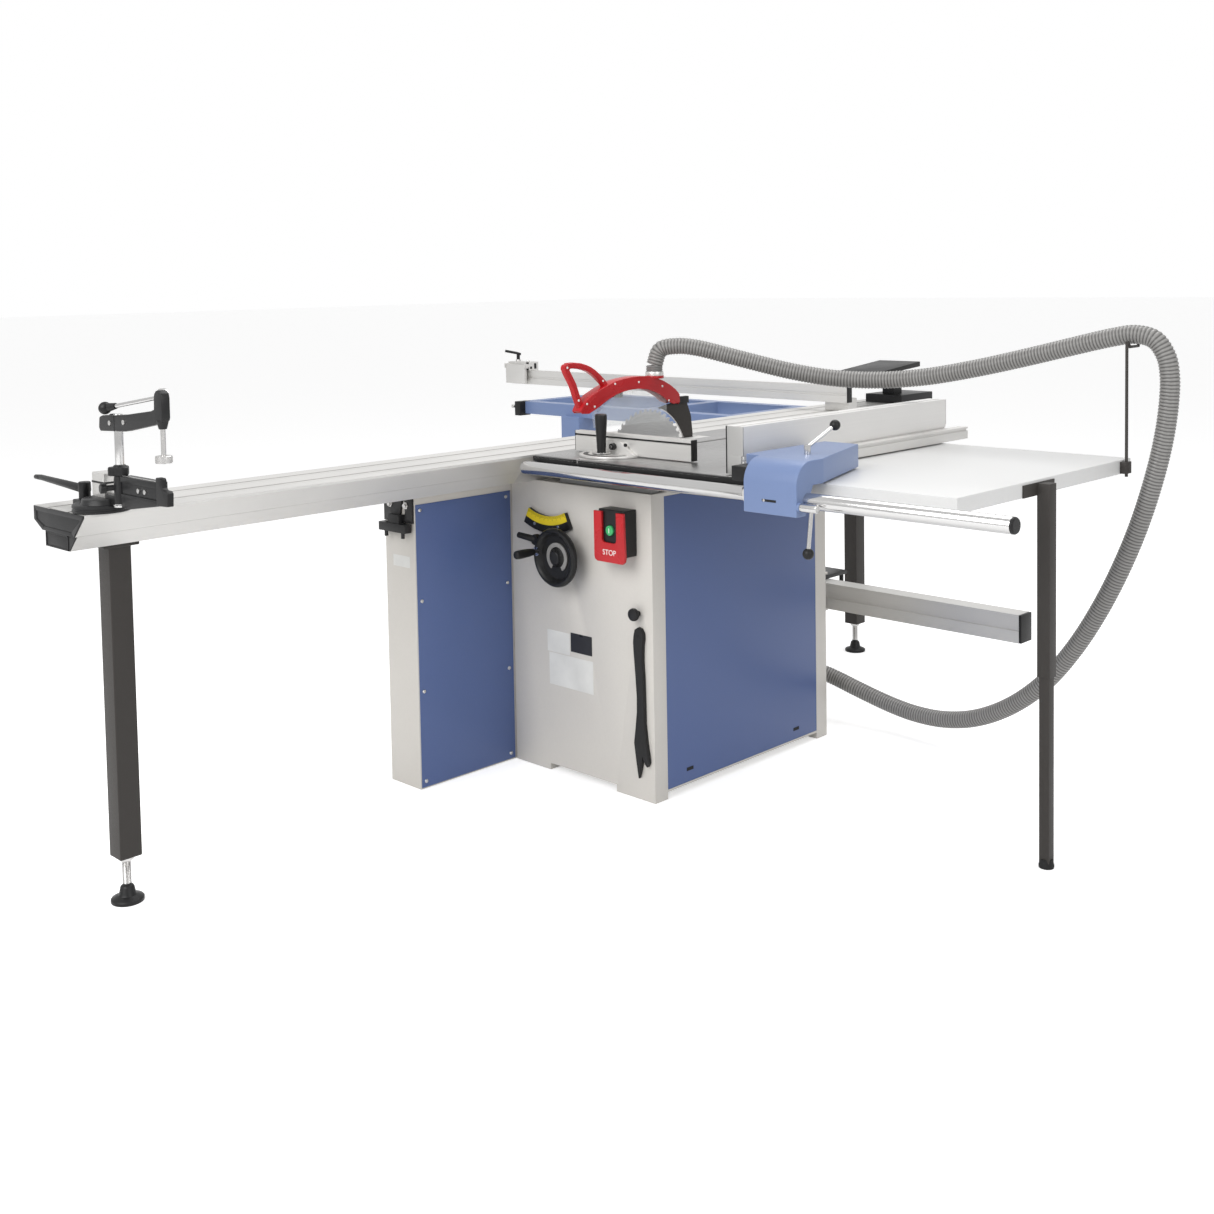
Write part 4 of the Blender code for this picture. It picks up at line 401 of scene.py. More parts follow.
class Piece:
    """One piece in the making: shapes are added, each with a finish, at places from the corner."""

    def __init__(self, name, body, slot):
        self.name, self.body, self.slot = name, body, slot
        self.mesh, self.finishes = bmesh.new(), []

    def take(self, shape, finish, width=0.0, segments=2, other=None):
        """Add a shape. Faces whose centre passes other's test take its finish instead."""
        round_edges(shape, width, segments)
        second, test = other or (finish, None)
        for name in (finish, second):
            if name not in self.finishes:
                self.finishes.append(name)
        for face in shape.faces:
            chosen = second if test and test(face.calc_center_median()) else finish
            face.material_index = self.finishes.index(chosen)
            face.smooth = True
        store = bpy.data.meshes.new("store")
        shape.to_mesh(store)
        shape.free()
        store.transform(Matrix.Translation(CORNER))
        self.mesh.from_mesh(store)
        bpy.data.meshes.remove(store)
        return self

    def block(self, low, high, finish, width=0.001, segments=2):
        shape = bmesh.new()
        bmesh.ops.create_cube(shape, size=1.0)
        for vertex in shape.verts:
            vertex.co = Vector(low[i] + (vertex.co[i] + 0.5) * (high[i] - low[i]) for i in range(3))
        return self.take(shape, finish, width, segments)

    def slab(self, outline, axis, low, high, finish, width=0.0, segments=2):
        """An outline in the plane across an axis, thickened from low to high."""
        shape = bmesh.new()
        base = [shape.verts.new((u, v, 0.0)) for u, v in outline]
        face = shape.faces.new(base)
        side = bmesh.ops.extrude_face_region(shape, geom=[face])
        moved = [g for g in side["geom"] if isinstance(g, bmesh.types.BMVert)]
        bmesh.ops.translate(shape, verts=moved, vec=(0.0, 0.0, high - low))
        offset = Vector([low if letter == axis else 0.0 for letter in "XYZ"])
        if axis == "Y":
            offset = Vector((0.0, high, 0.0))
        bmesh.ops.transform(shape, matrix=Matrix.Translation(offset) @ AXES[axis], verts=shape.verts)
        bmesh.ops.recalc_face_normals(shape, faces=shape.faces)
        return self.take(shape, finish, width, segments)

    def rod(self, start, end, radius, finish, end_radius=None, sides=28, width=0.0, segments=2):
        shape = bmesh.new()
        start, end = Vector(start), Vector(end)
        turn = (end - start).to_track_quat("Z", "Y").to_matrix().to_4x4()
        bmesh.ops.create_cone(
            shape, cap_ends=True, segments=sides, radius1=radius,
            radius2=radius if end_radius is None else end_radius, depth=(end - start).length,
            matrix=Matrix.Translation((start + end) / 2) @ turn,
        )
        return self.take(shape, finish, width, segments)

    def stud(self, place, way, height, radius, finish, sides=20, width=0.001, segments=2):
        """A short round head or pin that stands on a place."""
        place = Vector(place)
        return self.rod(place, place + Vector(way) * height, radius, finish, None, sides, width, segments)

    def lathe(self, profile, base, way, finish, sides=36):
        """(radius, height) pairs from one pole to the other, turned about a line through base along way."""
        shape = bmesh.new()
        join_rings(shape, [ring_of(shape, radius, height, sides) for radius, height in profile], sides)
        turn = Vector(way).to_track_quat("Z", "Y").to_matrix().to_4x4()
        bmesh.ops.transform(shape, matrix=Matrix.Translation(base) @ turn, verts=shape.verts)
        bmesh.ops.recalc_face_normals(shape, faces=shape.faces)
        return self.take(shape, finish)

    def ball(self, centre, radius, finish):
        shape = bmesh.new()
        bmesh.ops.create_uvsphere(
            shape, u_segments=28, v_segments=16, radius=radius, matrix=Matrix.Translation(centre),
        )
        return self.take(shape, finish)

    def words(self, text, centre, size, turn, finish):
        """Flat raised lettering, made a mesh before it is placed."""
        font = bpy.data.curves.new("lettering", "FONT")
        font.body, font.size, font.extrude = text, size, 0.00015
        font.align_x = font.align_y = "CENTER"
        guide = bpy.data.objects.new("lettering", font)
        bpy.context.scene.collection.objects.link(guide)
        bpy.context.view_layer.update()
        mesh = bpy.data.meshes.new_from_object(guide.evaluated_get(bpy.context.evaluated_depsgraph_get()))
        bpy.data.objects.remove(guide)
        shape = bmesh.new()
        shape.from_mesh(mesh)
        bmesh.ops.remove_doubles(shape, verts=shape.verts, dist=1e-7)
        bmesh.ops.transform(shape, matrix=Matrix.Translation(centre) @ turn.to_4x4(), verts=shape.verts)
        bpy.data.meshes.remove(mesh)
        return self.take(shape, finish)

    def done(self, *replaced):
        mesh = mesh_of(self.name, self.mesh, *self.finishes)
        mesh.set_sharp_from_angle(angle=SHARP)
        made = settle(self.name, mesh, self.body)
        if replaced:
            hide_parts(*replaced)
        return made


def sweep(shape, path, radii, sides):
    """Rings of vertices along a path, kept from twisting, joined by faces."""
    rings, normal = [], None
    turns = [2 * math.pi * j / sides for j in range(sides)]
    for i, (place, reach) in enumerate(zip(path, radii)):
        ahead = (path[min(i + 1, len(path) - 1)] - path[max(i - 1, 0)]).normalized()
        if normal is None:
            normal = ahead.orthogonal().normalized()
        normal = (normal - ahead * normal.dot(ahead)).normalized()
        across = ahead.cross(normal)
        rings.append(
            [shape.verts.new(place + (normal * math.cos(t) + across * math.sin(t)) * reach) for t in turns]
        )
    join_rings(shape, rings, sides)
    return rings


def join_rings(shape, rings, sides):
    """Faces between rings of vertices. A ring of one vertex is a pole."""
    for first, second in zip(rings, rings[1:]):
        for i in range(sides):
            j = (i + 1) % sides
            corners = ((first, i), (first, j), (second, j), (second, i))
            face = list(dict.fromkeys(row[k % len(row)] for row, k in corners))
            if len(face) > 2:
                shape.faces.new(face)


def ring_of(shape, radius, height, sides):
    """Vertices on a circle about Z, or its middle alone where it has no radius."""
    if radius < 1e-6:
        return [shape.verts.new((0.0, 0.0, height))]
    turns = [2 * math.pi * i / sides for i in range(sides)]
    return [shape.verts.new((radius * math.cos(t), radius * math.sin(t), height)) for t in turns]


def run_of(path):
    return sum((q - p).length for p, q in zip(path, path[1:]))


def even_path(points, spacing, fineness=24):
    """Points at an even spacing on a smooth curve through the given ones."""
    places = [Vector(p) for p in points]
    ends = [places[0] * 2 - places[1]] + places + [places[-1] * 2 - places[-2]]
    fine = []
    for i in range(1, len(ends) - 2):
        a, b, c, d = ends[i - 1:i + 3]
        for step in range(fineness):
            t = step / fineness
            square, cube = 2 * a - 5 * b + 4 * c - d, 3 * b - a - 3 * c + d
            fine.append(0.5 * (2 * b + (c - a) * t + square * t ** 2 + cube * t ** 3))
    fine.append(places[-1])
    total = run_of(fine)
    count = round(total / spacing)
    even, run, target = [fine[0]], 0.0, total / count
    for p, q in zip(fine, fine[1:]):
        step = (q - p).length
        while run + step >= target and len(even) < count:
            even.append(p.lerp(q, (target - run) / step))
            target += total / count
        run += step
    return even + [fine[-1]]


def mesh_of(name, shape, *finishes):
    mesh = bpy.data.meshes.new(name)
    shape.to_mesh(mesh)
    shape.free()
    for finish in finishes:
        mesh.materials.append(F[finish])
    return mesh


def settle(name, mesh, body):
    made = bpy.data.objects.new(name, mesh)
    bpy.context.scene.collection.objects.link(made)
    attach(made, body)
    return made


def polish(node, finish, width=0.0012, segments=2, other=None):
    """A copy of a CAD node with rounded edges and a finish, which stands for it."""
    shape = bmesh.new()
    shape.from_mesh(NODES[node].data)
    bmesh.ops.remove_doubles(shape, verts=shape.verts, dist=MERGE)
    bmesh.ops.dissolve_limit(shape, angle_limit=FLAT, verts=shape.verts, edges=shape.edges)
    bmesh.ops.translate(shape, verts=shape.verts, vec=-CORNER)
    made = Piece(node + "_rounded", NODES[node]["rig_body"], slot_of(node))
    made.take(shape, finish, width, segments, other)
    return made.done(node)


def slot_of(node):
    for entry in frame["record"]["subparts"]:
        if entry["node"] == node:
            return entry["material_slot"]
    raise ValueError(node + " has no slot")


def scatter(name, body, template, places, finish, normal=UP):
    """Copies of one small mesh at many places, made by Geometry Nodes and then baked to a plain mesh."""
    points = bpy.data.meshes.new(name)
    points.from_pydata([at(*p) for p in places], [], [])
    made = bpy.data.objects.new(name, points)
    bpy.context.scene.collection.objects.link(made)
    group = bpy.data.node_groups.new(name + "_spread", "GeometryNodeTree")
    tree, inputs = Nodes(group), {}
    for label, kind in (("Geometry", "Geometry"), ("Piece", "Object"), ("Turn", "Vector")):
        inputs[label] = group.interface.new_socket(label, in_out="INPUT", socket_type="NodeSocket" + kind)
    group.interface.new_socket("Geometry", in_out="OUTPUT", socket_type="NodeSocketGeometry")
    start = tree.node("NodeGroupInput")
    head = tree.node("GeometryNodeObjectInfo", Object=start["Piece"])["Geometry"]
    turn = tree.node("FunctionNodeEulerToRotation", Euler=start["Turn"])["Rotation"]
    spread = tree.node("GeometryNodeInstanceOnPoints", Points=start["Geometry"], Instance=head, Rotation=turn)
    real = tree.node("GeometryNodeRealizeInstances", Geometry=spread["Instances"])["Geometry"]
    coated = tree.node("GeometryNodeSetMaterial", Geometry=real, Material=F[finish])["Geometry"]
    tree.node("NodeGroupOutput", Geometry=coated)
    modifier = made.modifiers.new("spread", "NODES")
    modifier.node_group = group
    modifier[inputs["Piece"].identifier] = template
    modifier[inputs["Turn"].identifier] = Vector(normal).to_track_quat("Z", "Y").to_euler()[:]
    graph = bpy.context.evaluated_depsgraph_get()
    graph.update()
    plain = bpy.data.meshes.new_from_object(made.evaluated_get(graph))
    made.modifiers.clear()
    made.data = plain
    made.data.set_sharp_from_angle(angle=SHARP)
    bpy.data.node_groups.remove(group)
    bpy.data.meshes.remove(points)
    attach(made, body)


def template_of(profile, sides=14):
    """A small turned head about Z, to be copied by scatter."""
    shape = bmesh.new()
    rings = [ring_of(shape, radius, height, sides) for radius, height in profile]
    join_rings(shape, rings, sides)
    shape.faces.new(rings[0][::-1])
    shape.faces.new(rings[-1])
    bmesh.ops.recalc_face_normals(shape, faces=shape.faces)
    for face in shape.faces:
        face.smooth = True
    head = bpy.data.objects.new("head", mesh_of("head", shape))
    head.hide_render = True
    return head


def screw_head(radius):
    r = radius
    return template_of(
        [(r, 0.0), (r, 0.28 * r), (0.86 * r, 0.5 * r), (0.42 * r, 0.6 * r), (0.36 * r, 0.25 * r)]
    )


def bolt_head(radius):
    r = radius
    return template_of(
        [(1.5 * r, 0.0), (1.5 * r, 0.2 * r), (r, 0.22 * r), (r, 0.95 * r), (0.88 * r, 1.05 * r)], 6,
    )


class SawOperator:
    bl_options = {"REGISTER", "UNDO"}

    @property
    def tones(self):
        return bpy.context.scene.saw_colours

    @property
    def sizes(self):
        return bpy.context.scene.saw_sizes


# The pieces, one operator for each group


class SAW_OT_finishes(SawOperator, bpy.types.Operator):
    """Make the paints, metals and plastics"""

    bl_idname = "saw.finishes"
    bl_label = "Finishes"

    def execute(self, context):
        make_finishes(self.tones)
        return {"FINISHED"}


class SAW_OT_camera(SawOperator, bpy.types.Operator):
    """Place the camera"""

    bl_idname = "saw.camera"
    bl_label = "Camera"

    PLACE = (2.3997, -2.5899, 1.3268)
    YAW, PITCH, ROLL = 44.49, 3.3664, -0.9884
    LENS, SHIFT = 42.433, -0.2025

    def execute(self, context):
        yaw, pitch, roll = (math.radians(a) for a in (self.YAW, self.PITCH, self.ROLL))
        ahead = Vector((-math.sin(yaw) * math.cos(pitch), math.cos(yaw) * math.cos(pitch), -math.sin(pitch)))
        right = ahead.cross(Vector((0, 0, 1))).normalized()
        above = right.cross(ahead)
        across = right * math.cos(roll) + above * math.sin(roll)
        upward = above * math.cos(roll) - right * math.sin(roll)
        camera = bpy.data.objects.new("camera", bpy.data.cameras.new("camera"))
        context.scene.collection.objects.link(camera)
        turn = Matrix((across, upward, -ahead)).transposed().to_4x4()
        camera.matrix_world = Matrix.Translation(at(*self.PLACE)) @ turn
        camera.data.sensor_width, camera.data.lens, camera.data.shift_y = 36.0, self.LENS, self.SHIFT
        camera.data.clip_end = 200.0
        context.scene.camera = camera
        return {"FINISHED"}


class SAW_OT_stage(SawOperator, bpy.types.Operator):
    """Lay the floor and set the lamps"""

    bl_idname = "saw.stage"
    bl_label = "Floor and light"

    WHITE, FLOOR_GLOW, SKY = (1.0, 1.0, 1.0, 1.0), 0.5, 0.5

    def execute(self, context):
        scene = context.scene
        scene.view_settings.view_transform = "Standard"
        shape = bmesh.new()
        bmesh.ops.create_grid(shape, x_segments=1, y_segments=1, size=60.0)
        mesh = mesh_of("floor", shape)
        floor = bpy.data.objects.new("floor", mesh)
        floor.location.z = -0.0006
        scene.collection.objects.link(floor)
        made = Finish("pale_floor", 0.9)
        made.to("Base Color", (0.86, 0.86, 0.86, 1.0))
        rays = made.node("ShaderNodeLightPath")
        seen = rays["Is Camera Ray"] + rays["Is Glossy Ray"] * 0.5
        glow = made.node("ShaderNodeEmission", Color=self.WHITE, Strength=seen * self.FLOOR_GLOW)["Emission"]
        paint = Value(made.tree, made.shader.outputs[0])
        total = made.node("ShaderNodeAddShader", i0=paint, i1=glow)["Shader"]
        made.fill(made.tree.nodes["Material Output"].inputs[0], total)
        mesh.materials.append(made.material)

        world = bpy.data.worlds.new("studio")
        scene.world = world
        world.use_nodes = True
        sky = Nodes(world.node_tree)
        back = sky.tree.nodes["Background"].inputs
        back["Color"].default_value = self.WHITE
        rays = sky.node("ShaderNodeLightPath")
        shown = rays["Is Camera Ray"] + rays["Is Transmission Ray"] + rays["Is Glossy Ray"] * 0.3
        sky.fill(back["Strength"], (shown + self.SKY).clipped())

        for name, place, target, size, power in (
            ("key_lamp", (0.2, -4.6, 3.4), (-0.1, 0.0, 0.5), 4.0, 182.0),
            ("side_lamp", (4.6, -0.6, 2.6), (0.0, 0.3, 0.6), 3.0, 52.0),
            ("top_lamp", (-0.2, 1.6, 4.6), (0.0, 0.3, 0.8), 3.6, 104.0),
        ):
            lamp = bpy.data.lights.new(name, "AREA")
            lamp.shape, lamp.size, lamp.energy = "DISK", size, power
            light = bpy.data.objects.new(name, lamp)
            scene.collection.objects.link(light)
            light.location = at(*place)
            light.rotation_euler = (at(*target) - at(*place)).to_track_quat("-Z", "Y").to_euler()
        return {"FINISHED"}


class SAW_OT_hose(SawOperator, bpy.types.Operator):
    """Lay the ribbed dust hose on its route"""

    bl_idname = "saw.hose"
    bl_label = "Dust hose"

    RADIUS, SIDES = 0.0234, 22

    def execute(self, context):
        pitch, height = self.sizes.rib_pitch, self.sizes.rib_height
        middle = even_path([at(*p) for p in HOSE_ROUTE], 0.05)
        total = run_of(middle)
        path = even_path(middle, total / round(total / pitch) / 4)
        shape = bmesh.new()
        crest, groove = self.RADIUS, self.RADIUS - height
        levels = (crest, (crest * 3 + groove) / 4, groove, (crest * 3 + groove) / 4)
        rings = sweep(shape, path, [levels[i % 4] for i in range(len(path))], self.SIDES)
        shape.faces.new(rings[0])
        shape.faces.new(rings[-1])
        bmesh.ops.recalc_face_normals(shape, faces=shape.faces)
        for face in shape.faces:
            face.smooth = True
        mesh = mesh_of("ribbed_hose", shape, "hose")
        # Height share of each ring: the hose finish turns it into painted shade in the grooves and a painted
        # highlight on the crests.
        store = mesh.attributes.new("rib", "FLOAT", "POINT")
        groove_shade_shares = [(levels[i % 4] - groove) / height for i in range(len(path)) for _ in range(self.SIDES)]
        store.data.foreach_set("value", groove_shade_shares)
        hose = settle("ribbed_hose", mesh, "base")
        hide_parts("dust_hose")
        run_of(path)
        [tuple(p) for p in path[::2]] + ([tuple(path[-1])] if len(path) % 2 == 0 else [])
        cuff = Piece("hose_cuff", "base", "grey_hose")
        cuff.lathe(mm(25.5, 0, 28.5, 1, 28.5, 22, 26.2, 26, 24.2, 26, 24.2, 0, 25.5, 0),
                   (-0.15, 0.776, 0.15), (0, 1, 0), "rubber")
        cuff.done()
        return {"FINISHED"}


class SAW_OT_cabinet(SawOperator, bpy.types.Operator):
    """Cabinet shell, blue service panel and bare plates"""

    bl_idname = "saw.cabinet"
    bl_label = "Cabinet"

    def execute(self, context):
        polish("cabinet", "pale", self.sizes.edge)
        polish("right_side_panel", "blue", 0.0009, 3)
        plates = Piece("cabinet_plates", "base", "pale_paint")
        for low, high, finish in (
            ((-0.386, -0.0009, 0.327), (-0.3005, 0.0, 0.386), "plate"),
            ((-0.2965, -0.0009, 0.339), (-0.217, 0.0, 0.39), "plate_dark"),
            ((-0.38, -0.0009, 0.238), (-0.214, 0.0, 0.325), "plate"),
        ):
            plates.block(low, high, finish, 0.0003, 1)
        plates.done()
        # Black patches on the blue panel in place of two slot openings: painted shade of the openings.
        slots = Piece("panel_slots", "base", "blue_paint")
        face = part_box("right_side_panel")[1].x - CORNER.x
        for y, z in ((0.1335, 0.0576), (0.5853, 0.053)):
            slots.block(
                (face - 0.0002, y - 0.013, z - 0.0045), (face + 0.0004, y + 0.013, z + 0.0045), "rubber", 0.0,
            )
        slots.done()
        polish("dust_chute", "cast", 0.001)
        return {"FINISHED"}


def spread_evenly(low, high, count):
    return [low + (high - low) * i / (count - 1) for i in range(count)]


class SAW_OT_wing(SawOperator, bpy.types.Operator):
    """Side wing with its screwed blue panel, bare label and slotted bracket"""

    bl_idname = "saw.wing"
    bl_label = "Wing"

    def execute(self, context):
        polish("wing_box", "pale", self.sizes.edge)
        polish("wing_side_panel", "blue", 0.0006, 2)
        polish("wing_bracket", "satin", 0.0012)
        head = screw_head(self.sizes.screw_radius)
        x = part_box("wing_side_panel")[1].x - CORNER.x
        places = [(x, y, z) for y in (-0.316, -0.02) for z in spread_evenly(0.02, 0.733, 4)]
        scatter("wing_screws", "base", head, places, "steel", RIGHT)
        bolt = bolt_head(0.0065)
        scatter(
            "bracket_bolts", "base", bolt,
            [(-0.618, -0.3383, 0.745), (-0.552, -0.3383, 0.745)], "steel", OUT,
        )
        plates = Piece("wing_label_plate", "base", "pale_paint")
        plates.block((-0.617, -0.3328, 0.581), (-0.547, -0.332, 0.611), "plate", 0.0003, 1)
        plates.done()
        return {"FINISHED"}


class SAW_OT_tables(SawOperator, bpy.types.Operator):
    """Cast table, insert, extension table, front strip and rail"""

    bl_idname = "saw.tables"
    bl_label = "Fixed tables"

    def execute(self, context):
        polish("main_table", "cast", 0.0012, other=("iron", lambda c: c.z > 0.8565 and c.y > -0.0799))
        polish("extension_table", "table", 0.0018)
        polish("table_insert", "alu_y", 0.0006)
        polish("scale_bar", "black", 0.0006)
        rail = Piece("fence_rail_turned", "base", "chrome_plate")
        rail.rod(
            (-0.33, RAIL_Y, RAIL_Z), (1.0525, RAIL_Y, RAIL_Z), RAIL_RADIUS, "chrome", width=0.0015, sides=40,
        )
        rail.lathe(mm(0, 0, 17.2, 0, 17.2, 4, 15, 7.2, 0, 7.4), (1.0525, RAIL_Y, RAIL_Z), RIGHT, "black")
        rail.done("fence_rail")
        ticks = template_of([(0.00035, 0.0), (0.00035, 0.0003)], 4)
        marks = [(x, -0.0943, 0.864) for x in spread_evenly(-0.32, 0.296, 124)]
        scatter("front_scale_ticks", "base", ticks, marks, "white", OUT)
        return {"FINISHED"}


def slotted_section():
    """Section of the sliding table: two undercut slots and shallow lines on its top."""
    right, left, top = -0.3395, -0.5665, 0.868
    outline = [(right, top)]
    for centre in (-0.4115, -0.5065):
        line = centre + 0.022
        outline += [
            (line + 0.0008, top), (line + 0.0008, top - 0.001), (line - 0.0008, top - 0.001),
            (line - 0.0008, top), (centre + 0.0048, top), (centre + 0.0048, top - 0.0035),
            (centre + 0.0085, top - 0.0035), (centre + 0.0085, top - 0.0085), (centre - 0.0085, top - 0.0085),
            (centre - 0.0085, top - 0.0035), (centre - 0.0048, top - 0.0035), (centre - 0.0048, top),
        ]
    return outline + [(left, top), (left, 0.838), (-0.5275, 0.8191), (-0.3831, 0.8191), (right, 0.862)]


class SAW_OT_slider(SawOperator, bpy.types.Operator):
    """Sliding table with its slots and end caps, and the guide beam under it"""

    bl_idname = "saw.slider"
    bl_label = "Sliding table"

    def execute(self, context):
        table = Piece("sliding_table_profile", "table", "anodised_aluminium")
        table.slab(slotted_section(), "Y", -1.3005, 1.8925, "alu_y", 0.0)
        cap = mm(-340, 867.5, -566, 867.5, -566, 838.5, -527, 819.4, -384, 819.4, -340, 862.2)
        for low, high in ((-1.303, -1.3003), (1.8923, 1.896)):
            table.slab(cap, "Y", low, high, "black", 0.0008)
        rim = [(x * 0.88 - 0.055, (z - 0.8435) * 0.62 + 0.843) for x, z in cap]
        for i in range(len(cap)):
            j = (i + 1) % len(cap)
            table.slab([cap[i], cap[j], rim[j], rim[i]], "Y", -1.304, -1.302, "satin", 0.0004)
        table.block((-0.5655, -1.3038, 0.864), (-0.49, -1.299, 0.8682), "steel", 0.0006)
        table.done("sliding_table")
        beam = Piece("guide_beam_profile", "base", "anodised_aluminium")
        beam.block((-0.5235, -1.296, 0.7853), (-0.4175, 1.8925, 0.8188), "alu_y", 0.0)
        beam.slab(
            mm(-418, 785.3, -417.5, 785.3, -383.4, 818.8, -418, 818.8), "Y", -1.296, -0.085, "alu_y", 0.0,
        )
        for low, high in ((-1.2985, -1.2958), (1.8923, 1.8958)):
            beam.block((-0.523, low, 0.7858), (-0.418, high, 0.8183), "black", 0.0008)
        beam.slab(
            mm(-419, 785.8, -417, 785.8, -384, 818.3, -419, 818.3), "Y", -1.2985, -1.2958, "black", 0.0004,
        )
        for left, bottom, right, top in (
            (-0.523, 0.786, -0.42, 0.789), (-0.523, 0.815, -0.42, 0.818),
            (-0.523, 0.786, -0.52, 0.818), (-0.423, 0.786, -0.42, 0.818),
        ):
            beam.block((left, -1.2998, bottom), (right, -1.298, top), "satin", 0.0005, 1)
        beam.done("guide_beam")
        return {"FINISHED"}


class SAW_OT_legs(SawOperator, bpy.types.Operator):
    """Legs with their levelling feet, and the right support leg"""

    bl_idname = "saw.legs"
    bl_label = "Legs and feet"

    def execute(self, context):
        for node in ("front_leg", "rear_leg"):
            polish(node, "leg", 0.0025, 3)
        polish("table_leg_outer", "leg", 0.0016)
        inner = Piece("table_leg_inner_square", "leg_inner", "dark_paint")
        inner.block((0.8913, 0.288, 0.012), (0.9153, 0.312, 0.64), "leg", 0.0015)
        inner.lathe(mm(0, 0, 16.5, 0, 17, 2, 17, 6, 14, 20, 0, 20), (0.9033, 0.3, 0.0), UP, "rubber")
        inner.done("table_leg_inner")
        for node, y in (("front_foot", -1.175), ("rear_foot", 1.552)):
            foot = Piece(node + "_turned", node, "chrome_plate")
            foot.lathe(
                mm(0, 0, 34.5, 0, 35, 1.2, 35, 6.5, 33.5, 8.5, 20, 14, 17.5, 18, 15, 31, 13, 34, 9.5, 36,
                   9.2, 40),
                (-0.47, y, 0.0), UP, "black", 40,
            )
            thread = [(0.0092, 0.0395)]
            for i in range(34):
                z = 0.04 + i * 0.0018
                thread += [(0.0094, z), (0.0085, z + 0.0009)]
            foot.lathe(
                [(0.0, 0.0395)] + thread + [(0.0085, 0.15), (0.0, 0.15)], (-0.47, y, 0.0), UP, "steel", 20,
            )
            foot.slab(ring((-0.47, y), 0.0165, 0, 300, 5), "Z", 0.0905, 0.0995, "steel", 0.0008)
            foot.done(node)
        return {"FINISHED"}


